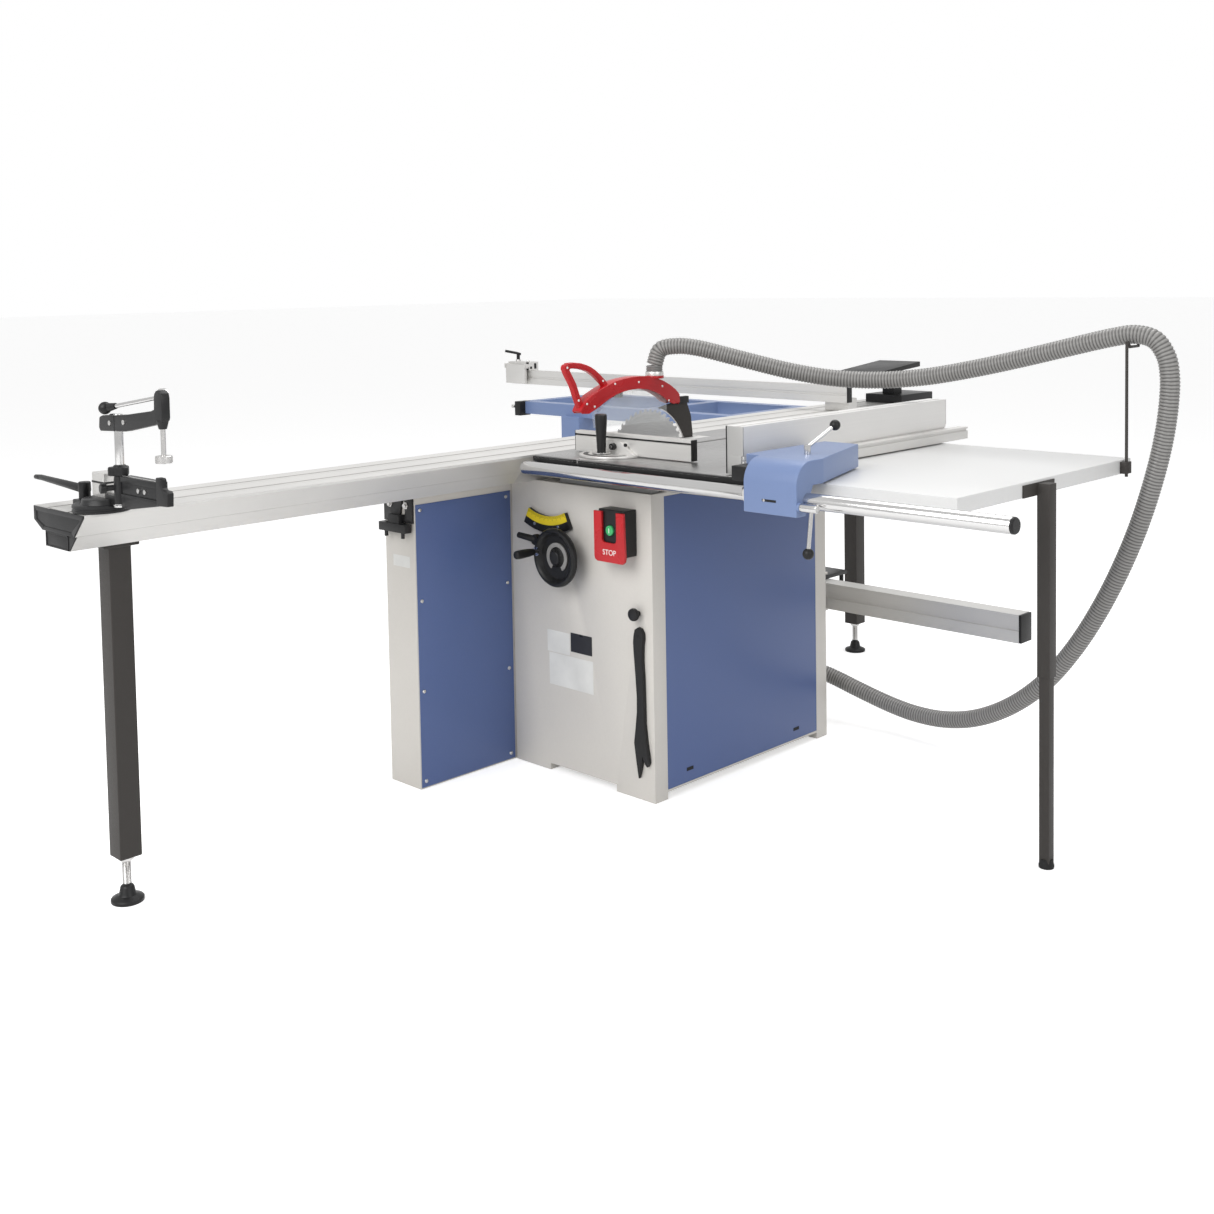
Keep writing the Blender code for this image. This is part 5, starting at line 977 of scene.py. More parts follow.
class SAW_OT_controls(SawOperator, bpy.types.Operator):
    """Handwheel, tilt scale and lock, switch, stop buttons and push stick"""

    bl_idname = "saw.controls"
    bl_label = "Controls"

    def execute(self, context):
        wheel = Piece("handwheel_dished", "handwheel", "black_plastic")
        x, y, z = -0.297, -0.05, 0.597
        wheel.lathe(
            mm(0, 3.5, 19, 3, 20, -0.5, 26.5, -6.5, 42, -8.5, 57, -6, 61, 1, 64, 6, 69, 8.8, 74.5, 7.5,
               77.5, 3, 78, -1, 76.5, -6, 72, -9, 64, -8.5, 56, -12, 42, -15, 30, -14, 24, -30, 20, -48,
               12, -49, 12, -104, 0, -104.5),
            (x, y, z), OUT, "black", 56,
        )
        wheel.slab(band((x, z), 0.0275, 0.0385, -60, 235, 30), "Y", y + 0.0045, y + 0.0082, "grey", 0.0005)
        wheel.lathe(mm(0, 0, 16.5, 0, 16.5, 3, 15, 4.2, 0, 4.4), (x, y - 0.0018, z), OUT, "satin", 32)
        wheel.lathe(mm(0, 0, 12.5, 0, 12.5, 2, 0, 2.2), (CRANK[0], -0.056, CRANK[1]), OUT, "steel", 24)
        wheel.done("handwheel")
        crank = Piece("crank_handle_turned", "crank", "black_plastic")
        crank.lathe(
            mm(0, 70, 7, 69.5, 10.5, 67, 11.8, 60, 11.9, 45, 10.5, 20, 8.5, 6, 5, 5.5, 5, -1.5, 0, -1.5),
            (CRANK[0], -0.061, CRANK[1]), OUT, "black", 28,
        )
        crank.done("crank_handle")
        lock = Piece("tilt_lock_turned", "tilt_lock", "black_plastic")
        lx, ly, lz = -0.395, -0.022, 0.63
        lock.lathe(
            mm(0, -21.5, 11.5, -21.5, 12, -5, 14.5, -2, 15, 9, 13.5, 12, 0, 12.5), (lx, ly, lz), OUT, "black",
            32,
        )
        lock.rod(
            (lx, ly - 0.004, lz), (lx - 0.054, ly - 0.0215, lz + 0.01), 0.0095, "black", 0.0078, 26, 0.003, 3,
        )
        lock.done("tilt_lock")
        scale = Piece("tilt_scale_marked", "base", "dark_paint")
        centre = (-0.3695, 0.854)
        scale.slab(band(centre, 0.1605, 0.205, -116, -64, 40), "Y", -0.0115, -0.0004, "satin", 0.001)
        scale.slab(band(centre, 0.16, 0.184, -115.5, -64.5, 40), "Y", -0.0128, -0.0112, "yellow", 0.0004)
        for i in range(46):
            turn = math.radians(-114.5 + 49 * i / 45)
            reach = 0.0072 if i % 5 else 0.0115
            out = Vector((math.cos(turn), math.sin(turn)))
            side = Vector((-out.y, out.x)) * 0.00028
            a, b = out * 0.1605, out * (0.1605 + reach)
            corners = [Vector(centre) + p for p in (a - side, a + side, b + side, b - side)]
            scale.slab([tuple(p) for p in corners], "Y", -0.0131, -0.0127, "black", 0.0)
        for turn in (-104, -76):
            t = math.radians(turn)
            place = (centre[0] + 0.19 * math.cos(t), -0.0112, centre[1] + 0.19 * math.sin(t))
            scale.rod(place, (place[0], -0.014, place[2]), 0.0042, "steel", width=0.0008, sides=18)
        scale.done("tilt_scale")
        polish("switch_box", "black", 0.0028, 3)
        self.flap()
        self.buttons()
        self.stick()
        return {"FINISHED"}

    def flap(self):
        front = -0.0536
        outline = mm(
            -150, 738, -122, 738, -122, 668, -119.5, 662.2, -114, 660, -80, 660, -74.5, 662.2, -72, 668, -72,
            738, -46, 738, -42, 626, -44, 616, -51, 610, -139, 610, -147, 614, -150, 623,
        )
        flap = Piece("stop_flap_moulded", "stop_flap", "red_plastic")
        flap.slab(outline, "Y", front + 0.0004, front + 0.008, "red", 0.0016, 3)
        upright = Matrix.Rotation(math.radians(90), 3, "X")
        flap.words("STOP", (-0.096, front + 0.0003, 0.635), 0.0195, upright, "white")
        flap.done("stop_flap")

    def buttons(self):
        button = Piece("start_button_turned", "start_button", "green_plastic")
        button.lathe(
            mm(0, 3.8, 10, 3.6, 12.5, 2.6, 13, 0.8, 13, -4, 0, -4), (-0.1, -0.0456, 0.69), OUT, "green",
        )
        button.slab(mm(-101, 684, -99, 684, -99, 696, -101, 696), "Y", -0.0497, -0.049, "white", 0.0)
        button.done("start_button")
        x, y, z = -0.6485, -0.29, 0.157
        stop = Piece("emergency_stop_turned", "emergency_stop", "red_plastic")
        stop.lathe(
            mm(0, 23.8, 11, 23.2, 15, 21.5, 17.6, 18, 18, 14, 17.2, 11.8, 10.5, 11, 10.5, -2, 0, -2),
            (x, y, z), (-1, 0, 0), "red", 40,
        )
        stop.done("emergency_stop")
        collar = Piece("stop_collar", "base", "black_plastic")
        collar.lathe(
            mm(12.5, 0, 19.5, 0, 19.5, 1.2, 17, 4, 12.5, 4.2, 12.5, 0), (x - 0.0001, y, z), (-1, 0, 0),
            "black",
        )
        collar.done()

    def stick(self):
        outline = mm(
            -52.6, 439.3, -56.6, 425, -58.9, 405.8, -57.3, 381.9, -52.6, 324.6, -48.7, 267.2, -49.4, 229,
            -54.2, 190.7, -60.5, 147.7, -54.2, 104.7, -46.3, 56.9, -36.8, 95.1, -32.1, 116.2, -24.2, 99.9,
            -16.3, 92.3, -10.7, 104.7, -13.1, 123.8, -18.6, 152.5, -24.2, 200.3, -24.9, 248.1, -25.7, 305.5,
            -28.9, 362.8, -27.3, 401.1, -24.2, 418.3, -24.9, 432.6, -32.1, 443.1, -42.3, 446,
        )
        stick = Piece("push_stick_flat", "base", "black_plastic")
        stick.slab(outline, "Y", -0.0125, -0.0005, "black", 0.0022, 3)
        stick.stud((-0.0415, -0.0118, 0.425), OUT, 0.0012, 0.0045, "rubber", sides=24, width=0.0)
        stick.done("push_stick")
        knob = Piece("stick_knob", "base", "black_plastic")
        knob.lathe(
            mm(0, 26, 9, 25.5, 15.5, 23.5, 16.5, 19, 15.5, 14, 8, 12, 7, 0, 0, 0),
            (-0.048, -0.0001, 0.479), OUT, "black",
        )
        knob.done()


class SAW_OT_blade_group(SawOperator, bpy.types.Operator):
    """Blade, riving knife, hood guard and what drives the blade"""

    bl_idname = "saw.blade_group"
    bl_label = "Blade, guard and drive"

    def execute(self, context):
        polish("blade", "blade", 0.0)
        x, y, z = BLADE_AXLE
        nut = Piece("blade_flange", "blade", "bright_steel")
        for side in (-1, 1):
            nut.lathe(
                mm(0, 6, 24, 5.8, 26, 4.5, 26.5, 0, 0, 0),
                (x + side * 0.0015, y, z), (side, 0, 0), "steel", 40,
            )
        nut.done()
        polish("arbor", "steel", 0.0006)
        self.knife()
        self.guard()
        for node, finish, width in (
            ("tilt_cradle", "cast", 0.0012), ("rise_slide", "cast", 0.0012), ("motor", "motor", 0.0015),
            ("motor_pulley", "alu_cast", 0.0008), ("drive_belt", "rubber", 0.0008),
        ):
            polish(node, finish, width)
        return {"FINISHED"}

    def knife(self):
        knife = Piece("splitter_plate", "tilt", "dark_paint")
        edge = ring(BLADE_AXLE[1:], 0.1635, 0, 74, 18)
        outline = [(0.4585, 0.647)] + edge + mm(
            395, 970, 430, 986, 462, 986, 464, 966, 480, 930, 486.5, 880, 486.5, 647,
        )
        knife.slab(outline, "X", -0.2862, -0.2838, "leg", 0.0004, 1)
        # A thin band of bright steel along the knife's curved edge: partly its bare steel edge, partly a
        # painted highlight where that edge catches the light.
        knife.slab(band(BLADE_AXLE[1:], 0.1633, 0.165, 2, 70, 18), "X", -0.2863, -0.2837, "steel")
        knife.block((-0.2915, 0.402, 0.966), (-0.2785, 0.4665, 0.9858), "black", 0.0015)
        knife.done("splitter")

    def guard(self):
        shell = Piece("guard_shell_moulded", "tilt", "red_plastic")
        right, left = -0.268, -0.302
        bars = -0.2935, -0.2765
        outer = mm(
            24.9, 976.1, 34, 990.5, 46.3, 1002, 67.6, 1015.3, 98.1, 1028.1, 128.9, 1038.9, 159.9, 1047.7,
            191.3, 1052.2, 222.9, 1054.6, 254.9, 1054.8, 287.1, 1052.4, 319.7, 1046.4, 352.6, 1035.4, 379,
            1022.4, 399, 1009.8, 415.7, 995, 417.2, 972.2,
        )
        inner = mm(
            31, 969, 54.4, 967.4, 90.9, 981.6, 121.7, 997, 159.1, 1011, 190.4, 1017.4, 222.1, 1020.5, 254.1,
            1020.5, 286.3, 1016.1, 318.8, 1006.3, 345, 993.3, 371.3, 975.6, 391.3, 968.3,
        )
        for low, high in ((left, left + 0.0045), (right - 0.0045, right)):
            shell.slab(outer + inner[::-1], "X", low, high, "red", 0.0018, 3)
        middle = Vector((0.25, 0.8))
        roof = [tuple(Vector(p).lerp(middle, 0.0075 / (Vector(p) - middle).length)) for p in outer]
        shell.slab(outer + roof[::-1], "X", left + 0.001, right - 0.001, "red", 0.0015)
        for side in (left - 0.001, right - 0.001):
            shell.slab(
                strip([(y, z + 0.003) for y, z in inner[1:]], 0.0055), "X", side, side + 0.002, "red", 0.0006,
            )
        shell.slab(
            strip(mm(42, 978, 36.9, 988, 25.8, 1011.5, 12, 1046.3, -7.7, 1077, -14, 1088), 0.017), "X", *bars,
            "red", 0.004, 3,
        )
        bow = mm(
            -11, 1096.5, 10, 1097.5, 36.8, 1094.2, 56, 1089, 72.3, 1082.8, 88, 1074, 102, 1063.9, 122.9,
            1046.5, 136, 1031,
        )
        shell.slab(strip(bow, 0.016), "X", *bars, "red", 0.004, 3)
        shell.rod(
            (bars[0] - 0.0002, -0.0125, 1.0912), (bars[1] + 0.0002, -0.0125, 1.0912), 0.0105, "red", sides=32,
            width=0.0035, segments=3,
        )
        shell.stud((*OUTLET, 1.044), UP, 0.008, 0.0262, "red", sides=32)
        shell.done("guard_shell")
        polish("guard_window", "clear", 0.0)
        face = mm(248.1, 1039, 342.9, 1021.7, 222, 1015.3, 368.7, 980.3, 47.9, 994.2, 155, 1040, 76, 985)
        grip = mm(25.6, 1004.4, -13.5, 1092.8, 118, 1050.1)
        for name, direction, plane, bar in (
            ("guard_rivets", 1, right, bars[1]), ("guard_rivets_left", -1, left, bars[0]),
        ):
            places = [(plane, y, z) for y, z in face] + [(bar, y, z) for y, z in grip]
            scatter(name, "tilt", screw_head(0.003), places, "white", (direction, 0, 0))
        cuff = Piece("outlet_cuff", "tilt", "grey_hose")
        cuff.lathe(
            mm(22.5, 0, 25, 0, 25.4, 2, 25.4, 10, 24.6, 13, 22.5, 13, 22.5, 0),
            (*OUTLET, 1.05), UP, "alu_cast",
        )
        ribs = [(0.0205, 0.0)]
        for i in range(4):
            ribs += [
                (0.021, 0.001 + 0.0045 * i), (0.0234, 0.0022 + 0.0045 * i), (0.0234, 0.0036 + 0.0045 * i),
                (0.021, 0.0048 + 0.0045 * i),
            ]
        cuff.lathe([(0.0, 0.0)] + ribs + [(0.0205, 0.0192), (0.0, 0.0192)], (*OUTLET, 1.0605), UP, "grey")
        cuff.done()


class SAW_OT_mitre(SawOperator, bpy.types.Operator):
    """Mitre gauge with its bar, quadrant, grip and fence"""

    bl_idname = "saw.mitre"
    bl_label = "Mitre gauge"

    def execute(self, context):
        polish("mitre_bar", "steel", 0.0005)
        x, y, deck = -0.17, 0.0, DECK
        head = Piece("mitre_head_built", "mitre_head", "anodised_aluminium")
        quadrant = ring((x + 0.01, 0.034), 0.0878, 180, 360, 40)
        head.slab(quadrant, "Z", deck, deck + 0.006, "alu_cast", 0.0012)
        head.slab(
            band((x + 0.01, 0.034), 0.066, 0.078, 200, 340, 24), "Z", deck + 0.0058, deck + 0.0064, "black",
        )
        head.slab(
            [(x - 0.062, deck + 0.004), (x - 0.062, deck + 0.036), (x + 0.04, deck + 0.036),
             (x + 0.086, deck + 0.004)],
            "Y", 0.029, 0.0382, "alu_x", 0.001,
        )
        head.stud((x + 0.018, 0.0292, deck + 0.024), OUT, 0.0122, 0.0085, "black", sides=24, width=0.0015)
        head.stud((x + 0.018, 0.0172, deck + 0.024), OUT, 0.0017, 0.004, "steel", sides=18, width=0.0004)
        head.stud((x + 0.06, 0.0292, deck + 0.03), OUT, 0.0052, 0.0045, "black", sides=18, width=0.0008)
        head.lathe(
            mm(0, 109, 12.5, 108.6, 15, 106.8, 15.8, 103, 15.2, 85, 13, 50, 11.2, 12, 13, 9, 0, 8),
            (x, y, deck), UP, "black", 32,
        )
        head.lathe(mm(0, 0, 24, 0, 24, 2.5, 0, 2.6), (x, y, deck + 0.008), UP, "steel", 32)
        head.done("mitre_head")
        fence = Piece("mitre_fence_profile", "mitre_head", "anodised_aluminium")
        low = 0.871
        section = [
            (0.0385, low), (0.0385, low + 0.0395), (0.041, low + 0.04), (0.041, low + 0.045),
            (0.0385, low + 0.0455), (0.0385, low + 0.053), (0.046, low + 0.053), (0.046, low + 0.048),
            (0.051, low + 0.048), (0.051, low + 0.053), (0.0585, low + 0.053), (0.0585, low),
        ]
        fence.slab(section, "X", -0.3035, 0.1005, "alu_x", 0.0)
        # A black strip at the bottom of the front groove: painted shade in the groove.
        fence.block((-0.3034, 0.0404, low + 0.0405), (0.1004, 0.0412, low + 0.0445), "black", 0.0)
        for a, b in ((-0.306, -0.3033), (0.1003, 0.104)):
            fence.block((a, 0.0387, low + 0.0003), (b, 0.0583, low + 0.0527), "black", 0.0008)
        fence.done("mitre_fence")
        return {"FINISHED"}


class SAW_OT_rip_fence(SawOperator, bpy.types.Operator):
    """Rip fence: blue carriage, aluminium bar, tall profile and chrome levers"""

    bl_idname = "saw.rip_fence"
    bl_label = "Rip fence"

    def execute(self, context):
        carriage = Piece("fence_carriage_cast", "fence", slot_of("fence_carriage"))
        head = [(-0.16, 0.808)] + ring((-0.106, 0.872), 0.054, 180, 90, 10)
        head += mm(-60, 926, -60, 871.5, -98.5, 871.5, -114, 842, -126, 808)
        carriage.slab(head, "X", 0.425, 0.569, "bright", 0.0026, 3)
        plan = mm(383.5, -98, 430, -104, 564, -104, 568.6, -97, 566.5, -57, 480, 200, 383.5, 200)
        carriage.slab(plan, "Z", 0.8718, 0.9262, "bright", 0.0026, 3)
        carriage.stud((0.565, -0.15, 0.83), RIGHT, 0.01, 0.0105, "bright", sides=28)
        carriage.lathe(
            mm(17.6, 0, 21.2, 0.4, 22, 1.5, 22, 18, 21.6, 19.1, 17.6, 19.5, 17.6, 0),
            (0.4054, RAIL_Y, RAIL_Z), RIGHT, "alu_cast",
        )
        carriage.done("fence_carriage")
        trim = Piece("carriage_trim", "fence", "black_plastic")
        # Black patch in place of the slot in the carriage's front, with a bolt in it: painted shade of the
        # opening.
        trim.block((0.4764, -0.1603, 0.8353), (0.5146, -0.158, 0.8407), "rubber", 0.0)
        trim.block((0.3835, -0.15, 0.872), (0.4252, -0.1, 0.905), "black", 0.002)
        trim.done()
        polish("fence_bar", "alu_y", 0.0006)
        low, high, left, right = 0.8715, 0.9815, 0.302, 0.352
        profile = Piece("fence_profile_built", "fence_profile", "anodised_aluminium")
        outer = [
            (left, low), (left + 0.005, low), (left + 0.005, low + 0.042), (right - 0.005, low + 0.042),
            (right - 0.005, low), (right, low), (right, low + 0.03), (right - 0.003, low + 0.0305),
            (right - 0.003, low + 0.0355), (right, low + 0.036), (right, high), (right - 0.015, high),
            (right - 0.015, high - 0.004), (right - 0.023, high - 0.004), (right - 0.023, high), (left, high),
        ]
        profile.slab(outer, "Y", -0.0665, 0.7965, "fence", 0.0)
        for a, b in ((-0.0695, -0.066), (0.796, 0.7995)):
            # End faces in the darker copy of the fence aluminium: painted shade.
            profile.block(
                (left + 0.0003, a, low + 0.042), (right - 0.0003, b, high - 0.0003), "fence_end", 0.0006,
            )
            profile.block(
                (left + 0.0003, a, low + 0.0003), (right - 0.0052, b, low + 0.0425), "fence_end", 0.0006,
            )
            profile.block(
                (left - 0.0002, a - 0.0005, low + 0.0001), (left + 0.0032, b + 0.0005, high + 0.0001),
                "black", 0.0004,
            )
        profile.done("fence_profile")
        lever = Piece("fence_lock_lever_built", "fence_lock", "chrome_plate")
        x, y, z = 0.575, -0.15, 0.83
        lever.lathe(mm(0, 42.1, 7.5, 42, 9.3, 40.5, 9.5, 38, 9.5, 1, 0, 0.8), (x, y, z), RIGHT, "chrome")
        lever.rod((x + 0.026, y, z - 0.004), (x + 0.026, y - 0.012, z - 0.085), 0.0045, "chrome", sides=18)
        lever.ball((x + 0.026, y - 0.0125, z - 0.0945), 0.0123, "black")
        lever.done("fence_lock_lever")
        clamp = Piece("fence_clamp_lever_built", "fence_clamp", "chrome_plate")
        x, y, z = 0.5, -0.026, 0.926
        clamp.lathe(mm(0, 22.2, 6, 22, 7.4, 20.5, 7.5, 18, 7.5, 0.4, 0, 0.3), (x, y, z), UP, "chrome")
        clamp.rod((x, y, z + 0.016), (x + 0.018, y + 0.07, z + 0.056), 0.0045, "chrome", sides=18)
        clamp.ball((x + 0.0198, y + 0.0775, z + 0.0598), 0.0123, "black")
        clamp.done("fence_clamp_lever")
        bolts = [(0.4815, -0.1601, 0.838)]
        scatter("carriage_bolt", "fence", bolt_head(0.0022), bolts, "steel", OUT)
        return {"FINISHED"}


class SAW_OT_outrigger(SawOperator, bpy.types.Operator):
    """Outrigger table with its roller, swing arm and pivot sleeve"""

    bl_idname = "saw.outrigger"
    bl_label = "Outrigger"

    def execute(self, context):
        polish("outrigger_frame", "bright", 0.0022, 3)
        (left, front, _), (_, back, top) = [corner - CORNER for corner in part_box("outrigger_frame")]
        ends = Piece("outrigger_end_caps", "table", "black_plastic")
        beam = 0.05
        for y in (front, back - beam):
            ends.block(
                (left + 0.034, y - 0.0015, top - beam - 0.0015),
                (left + 0.064, y + beam + 0.0015, top + 0.0012), "black", 0.0015,
            )
        for y in (front + 0.0035, back - 0.0125):
            ends.stud((-1.618, y, 0.847), (0, 1, 0), 0.009, 0.007, "steel", width=0.0008)
        ends.done()
        roller = Piece("outrigger_roller_turned", "roller", "anodised_aluminium")
        roller.lathe(
            mm(0, 404.6, 13, 404.5, 15, 403.5, 16.4, 401.5, 16.5, 398, 16.5, 7, 16.4, 3.5, 15, 1.5, 13, 0.5,
               0, 0.4),
            (-1.618, 1.0225, 0.847), (0, 1, 0), "alu_y", 32,
        )
        roller.done("outrigger_roller")
        arm = Piece("swing_arm_profile", "swing_arm", "anodised_aluminium")
        section = mm(
            1000, 290, 1060, 290, 1060, 324, 1056, 324.5, 1056, 335.5, 1060, 336, 1060, 370, 1000, 370, 1000,
            336, 1004, 335.5, 1004, 324.5, 1000, 324,
        )
        arm.slab(section, "X", -1.3425, 0.4575, "alu_x", 0.0)
        for a, b in ((-1.345, -1.3423), (0.4573, 0.465)):
            arm.block((a, 1.0004, 0.2904), (b, 1.0596, 0.3696), "black", 0.0012)
        arm.done("swing_arm")
        polish("arm_sleeve", "satin", 0.002)
        return {"FINISHED"}


class SAW_OT_crosscut(SawOperator, bpy.types.Operator):
    """Crosscut fence with its swivel knob, sliding stop and flip arm"""

    bl_idname = "saw.crosscut"
    bl_label = "Crosscut fence"

    def execute(self, context):
        front, back, low, high = 1.317, 1.343, 0.898, 0.954
        fence = Piece("crosscut_fence_profile", "crosscut", "anodised_aluminium")
        section = [
            (front, low), (front, low + 0.0235), (front + 0.004, low + 0.024), (front + 0.004, low + 0.032),
            (front, low + 0.0325), (front, high), (1.326, high), (1.326, high - 0.006), (1.334, high - 0.006),
            (1.334, high), (back, high), (back, low + 0.04), (back - 0.003, low + 0.0395),
            (back - 0.003, low + 0.03), (back, low + 0.0295), (back, low),
        ]
        fence.slab(section, "X", -1.985, -0.333, "alu_x", 0.0)
        for a, b in ((-1.988, -1.9848), (-0.3332, -0.33)):
            fence.block((a, front + 0.0003, low + 0.0003), (b, back - 0.0003, high - 0.0003), "black", 0.0008)
        fence.block((-0.44, back - 0.0002, 0.8683), (-0.345, back + 0.05, low + 0.012), "alu_cast", 0.002, 3)
        fence.block((-1.45, front + 0.002, 0.8663), (-1.38, back - 0.002, low + 0.002), "black", 0.001)
        fence.lathe(mm(0, 46, 8, 46, 8, 12, 13, 11.8, 13, 0, 0, 0), (-0.372, back + 0.026, low), UP, "steel")
        fence.slab(
            [(-0.4, low + 0.056), (-0.3985, low + 0.0635), (-0.391, low + 0.0645), (-0.353, low + 0.0645),
             (-0.3455, low + 0.0635), (-0.344, low + 0.056), (-0.348, low + 0.0475), (-0.36, low + 0.04),
             (-0.364, low + 0.025), (-0.38, low + 0.025), (-0.384, low + 0.04), (-0.396, low + 0.0475)],
            "Y", back + 0.016, back + 0.036, "black", 0.004, 3,
        )
        fence.done("crosscut_fence")
        polish("crosscut_stop", "alu_x", 0.0012, other=("black", lambda c: c.z > 0.9885 or c.y > 1.364))
        pins = Piece("crosscut_stop_trim", "crosscut_stop", "black_plastic")
        for low, high in (
            ((-1.89, 1.3085, 0.956), (-1.8752, 1.311, 0.968)),
            ((-1.89, 1.3085, 0.979), (-1.8752, 1.311, 0.988)),
            ((-1.999, 1.3085, 0.9545), (-1.988, 1.311, 0.961)),
            ((-1.877, 1.318, 0.96), (-1.8748, 1.328, 0.97)), ((-1.877, 1.34, 0.96), (-1.8748, 1.352, 0.982)),
        ):
            pins.block(low, high, "black", 0.0008, 1)
        pins.stud((-1.96, 1.33, 0.9875), UP, 0.0085, 0.0105, "steel", sides=24)
        pins.stud((-1.9, 1.33, 0.9875), UP, 0.0055, 0.006, "steel")
        pins.done()
        polish("stop_arm", "alu_x", 0.001)
        shoe = Piece("edging_shoe_built", "shoe", "black_plastic")
        deck = DECK
        shoe.block((-0.5, 1.67, deck), (-0.35, 1.87, deck + 0.03), "satin", 0.003, 3)
        shoe.block((-0.45, 1.7, deck + 0.028), (-0.4, 1.75, 0.99), "satin", 0.004, 3)
        shoe.slab(mm(1510, 972, 1790, 992, 1790, 1010, 1510, 984), "X", -0.52, -0.35, "black", 0.0025)
        shoe.done("edging_shoe")
        return {"FINISHED"}


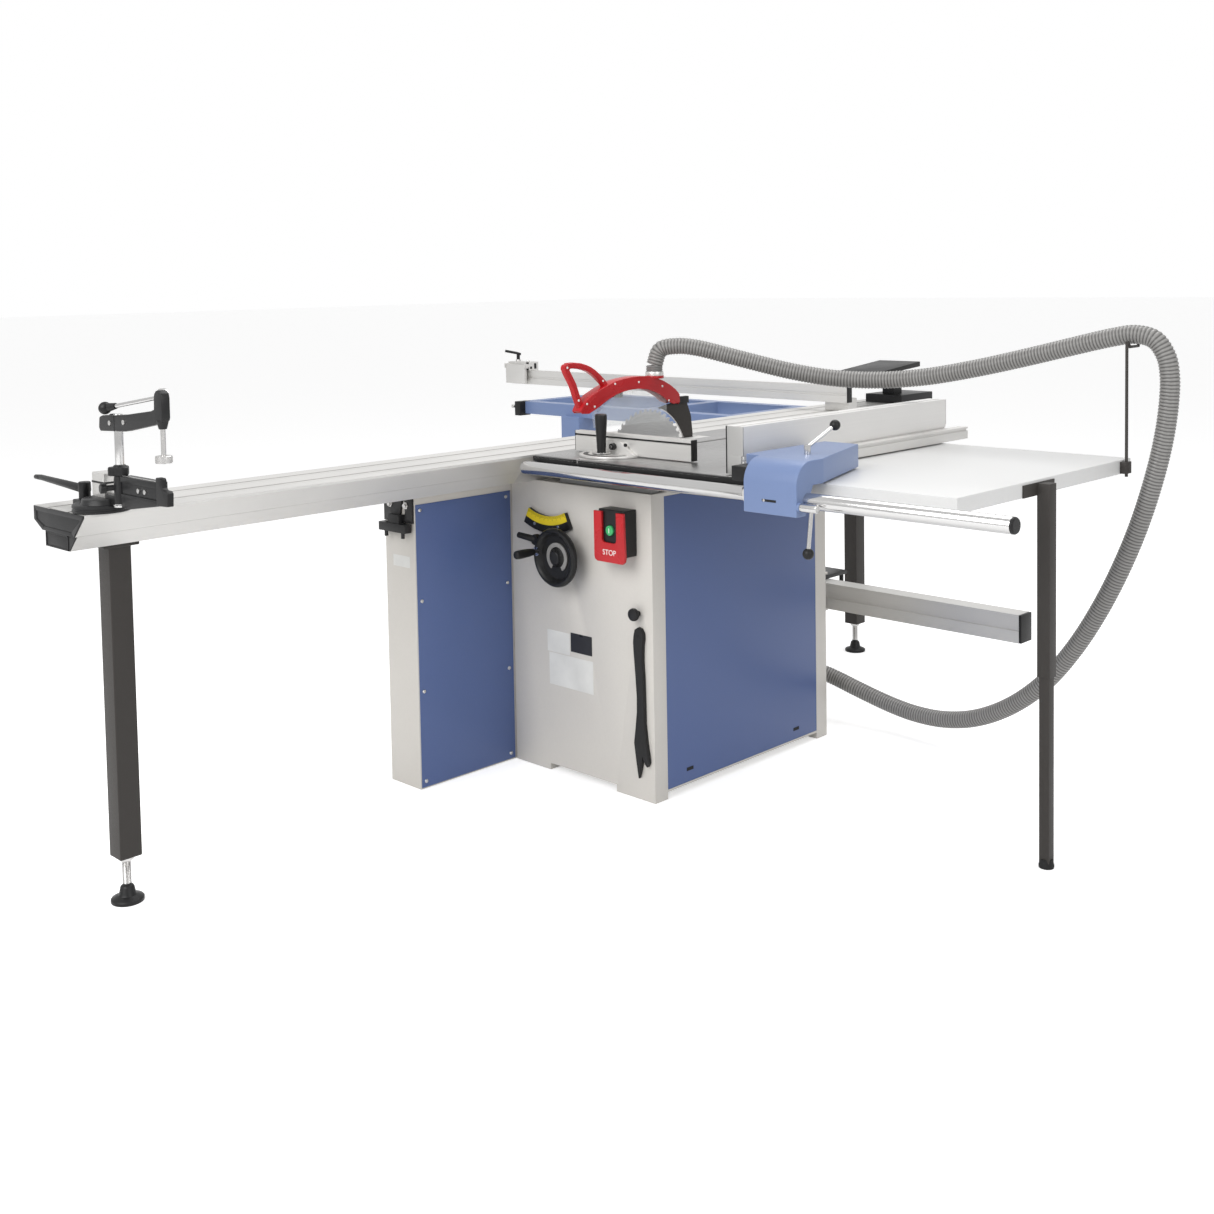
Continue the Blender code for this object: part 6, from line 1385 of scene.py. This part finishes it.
class SAW_OT_clamp(SawOperator, bpy.types.Operator):
    """Swivelling clamp: base, stub fence, column, arm, spindle and cam lever"""

    bl_idname = "saw.clamp"
    bl_label = "Clamp"

    Y, COLUMN, SPINDLE = -1.245, -0.292, -0.113

    def execute(self, context):
        self.base()
        self.arm()
        return {"FINISHED"}

    def base(self):
        x, y, deck, column = -0.376, self.Y, DECK, self.COLUMN
        base = Piece("clamp_base_built", "clamp", "black_plastic")
        base.lathe(
            mm(0, 17.5, 52, 17.2, 56.5, 16, 58.5, 14, 58.5, 10, 57.2, 9, 57.2, 6, 58.5, 5, 58.5, 1.5, 57.5, 0,
               0, 0),
            (x, y, deck), UP, "satin", 56,
        )
        base.lathe(mm(0, 29, 40, 28.6, 43, 27, 45, 19, 46, 17, 0, 17), (x + 0.01, y, deck), UP, "satin", 48)
        base.block((-0.404, y - 0.006, deck + 0.016), (-0.35, y + 0.034, deck + 0.078), "alu_cast", 0.0016)
        base.block((-0.4044, y - 0.0064, deck + 0.0565), (-0.3496, y + 0.0344, deck + 0.0605), "black", 0.0)
        base.block((-0.345, y - 0.006, deck + 0.016), (-0.245, y + 0.014, deck + 0.037), "satin", 0.002)
        base.slab(
            mm(-272, 884, -245, 884, -127.7, 901.5, -127.7, 948.3, -272, 948.3),
            "Y", y - 0.007, y + 0.014, "satin", 0.0015,
        )
        base.block((-0.272, y - 0.0105, deck + 0.0365), (-0.128, y - 0.0065, deck + 0.045), "black", 0.001)
        base.block((-0.272, y - 0.0105, deck + 0.068), (-0.128, y - 0.0065, deck + 0.08), "black", 0.001)
        base.block((-0.272, y - 0.006, deck + 0.0795), (-0.128, y - 0.003, deck + 0.0812), "steel", 0.0004, 1)
        for place in (-0.202, -0.176):
            base.stud((place, y - 0.006, deck + 0.057), OUT, 0.0048, 0.005, "steel")
        base.slab(
            mm(-128, 903, -84.5, 905, -82.7, 930, -87, 934.5, -102, 935.5, -107, 940, -108.5, 954, -112, 958,
               -128, 958),
            "Y", y - 0.011, y + 0.002, "black", 0.0018, 3,
        )
        base.rod((column, y, deck + 0.09), (column, y, 1.071), 0.0088, "chrome", sides=32, width=0.0012)
        base.lathe(
            mm(0, 0, 15, 0, 15.2, 3, 13.5, 4.5, 13.5, 6), (column, y, deck + 0.0165), UP, "chrome", 32,
        )
        base.lathe(
            mm(0, 0, 13, 0, 13, 52, 11.8, 58, 11.8, 66, 0, 66), (column, y, deck + 0.02), UP, "satin", 32,
        )
        reaches = [0.0195 + 0.004 * math.cos(math.radians(18 * i)) for i in range(60)]
        lobes = [ring((column, y), reach, 6 * i, 6 * i, 1)[0] for i, reach in enumerate(reaches)]
        base.slab(lobes, "Z", deck + 0.079, deck + 0.097, "black", 0.0035, 3)
        base.lathe(mm(0, 0, 15, 0, 13.5, 2.2, 10.8, 4.5, 0, 4.6), (column, y, deck + 0.096), UP, "black")
        base.rod(
            (column - 0.006, y, deck + 0.055), (column - 0.012, y - 0.027, deck + 0.055), 0.006, "satin",
            sides=24,
        )
        base.lathe(
            mm(0, 0, 8.5, 0, 10, 1.5, 10, 11, 8.5, 12.5, 0, 12.5), (column - 0.011, y - 0.025, deck + 0.055),
            (-0.2, -1, 0), "black", 26,
        )
        hub = x - 0.075
        base.lathe(
            mm(0, 37, 11, 36.6, 12.6, 35, 13.2, 18, 12, 15, 12, 0, 0, 0), (hub, y, deck + 0.016), UP, "black",
            32,
        )
        base.block((hub - 0.02, y - 0.018, deck + 0.003), (x, y + 0.018, deck + 0.0165), "satin", 0.003, 3)
        base.rod((hub, y, deck + 0.037), (-0.66, y, deck + 0.044), 0.0094, "black", 0.006, 24, 0.002)
        base.rod((-0.655, y, deck + 0.0438), (-0.685, y, deck + 0.043), 0.0062, "black", 0.005, 20, 0.002)
        base.done("clamp_base")

    def arm(self):
        y, column, spindle = self.Y, self.COLUMN, self.SPINDLE
        front = y - 0.009
        arm = Piece("clamp_arm_cast", "clamp_arm", "black_plastic")
        arm.slab(
            mm(-359, 1040, -356, 1062, -344, 1066, -252, 1071.5, -143, 1085, -130, 1089, -129, 1112,
               -126.5, 1120, -121, 1125, -113.5, 1126.5, -106, 1125, -100.5, 1120, -98, 1112, -98, 1074,
               -100, 1068, -105, 1065, -130, 1059, -250, 1038.5, -353, 1033.5),
            "Y", front, y + 0.009, "satin", 0.003, 3,
        )
        arm.lathe(mm(0, 0, 7.5, 0, 8.5, 3, 11.8, 16, 0, 16), (spindle, y, 1.0515), UP, "satin", 32)
        arm.block(
            (column - 0.0015, front - 0.0003, 1.0365), (column + 0.0005, front + 0.006, 1.069), "rubber", 0.0,
        )
        for place, height in ((column - 0.018, 1.0525), (column + 0.04, 1.057)):
            arm.stud((place, front + 0.001, height), OUT, 0.0032, 0.0052, "steel")
        arm.stud((-0.315, y, 1.0655), UP, 0.0045, 0.006, "satin")
        arm.done("clamp_arm")
        stem = Piece("clamp_spindle_turned", "clamp_spindle", "chrome_plate")
        stem.lathe(
            mm(0, 104.5, 4.2, 104.4, 4.8, 103.5, 4.8, 15, 15, 14.5, 16, 13.5, 16, 1.2, 15, 0, 0, 0),
            (spindle, y, 0.986), UP, "steel", 36,
        )
        for i in range(24):
            turn = math.radians(15 * i)
            across = Vector((math.cos(turn), math.sin(turn), 0.0)) * 0.0159
            stem.rod(
                Vector((spindle, y, 0.988)) + across, Vector((spindle, y, 0.9985)) + across, 0.0009, "steel",
                sides=6,
            )
        stem.done("clamp_spindle")
        cam = Piece("clamp_cam_built", "clamp_cam", "chrome_plate")
        cx, cz = -0.148, 1.106
        cam.stud(
            (cx + 0.016, y + 0.0065, cz + 0.006), (0, 1, 0), 0.0115, 0.016, "chrome", sides=36, width=0.0015,
        )
        start, tip = Vector((cx + 0.01, y + 0.012, cz + 0.005)), Vector((cx - 0.1497, y - 0.024, cz - 0.0219))
        cam.rod(start, tip, 0.0043, "chrome", sides=18)
        cam.rod(start.lerp(tip, 0.8), start.lerp(tip, 0.92), 0.006, "black", 0.0085, 20)
        cam.ball(tip, 0.0128, "black")
        cam.done("clamp_cam")


class SAW_OT_hook(SawOperator, bpy.types.Operator):
    """Hook that holds the hose up at the right end"""

    bl_idname = "saw.hook"
    bl_label = "Hose hook"

    def execute(self, context):
        polish("hose_hook", "leg", 0.0008)
        return {"FINISHED"}


class SAW_PT_panel(bpy.types.Panel):
    """Lists the pieces of the saw and the values that they are made from"""

    bl_label = "Panel Saw"
    bl_idname = "SAW_PT_panel"
    bl_space_type = "VIEW_3D"
    bl_region_type = "UI"
    bl_category = "Panel Saw"

    def draw(self, context):
        layout = self.layout
        for group in (context.scene.saw_sizes, context.scene.saw_colours):
            box = layout.box()
            for name in group.__annotations__:
                box.prop(group, name)
        for operator in OPERATORS:
            layout.operator(operator.bl_idname)


OPERATORS = (
    SAW_OT_finishes, SAW_OT_camera, SAW_OT_hose, SAW_OT_stage, SAW_OT_cabinet, SAW_OT_wing, SAW_OT_tables,
    SAW_OT_slider, SAW_OT_legs, SAW_OT_controls, SAW_OT_blade_group, SAW_OT_mitre, SAW_OT_rip_fence,
    SAW_OT_outrigger, SAW_OT_crosscut, SAW_OT_clamp, SAW_OT_hook,
)
CLASSES = (SawColours, SawSizes) + OPERATORS + (SAW_PT_panel,)


def register():
    for made in CLASSES:
        bpy.utils.register_class(made)
    bpy.types.Scene.saw_colours = bpy.props.PointerProperty(type=SawColours)
    bpy.types.Scene.saw_sizes = bpy.props.PointerProperty(type=SawSizes)


def unregister():
    del bpy.types.Scene.saw_colours, bpy.types.Scene.saw_sizes
    for made in reversed(CLASSES):
        bpy.utils.unregister_class(made)


def main():
    register()
    for operator in OPERATORS:
        group, name = operator.bl_idname.split(".")
        getattr(getattr(bpy.ops, group), name)()


if __name__ == "__main__":
    main()
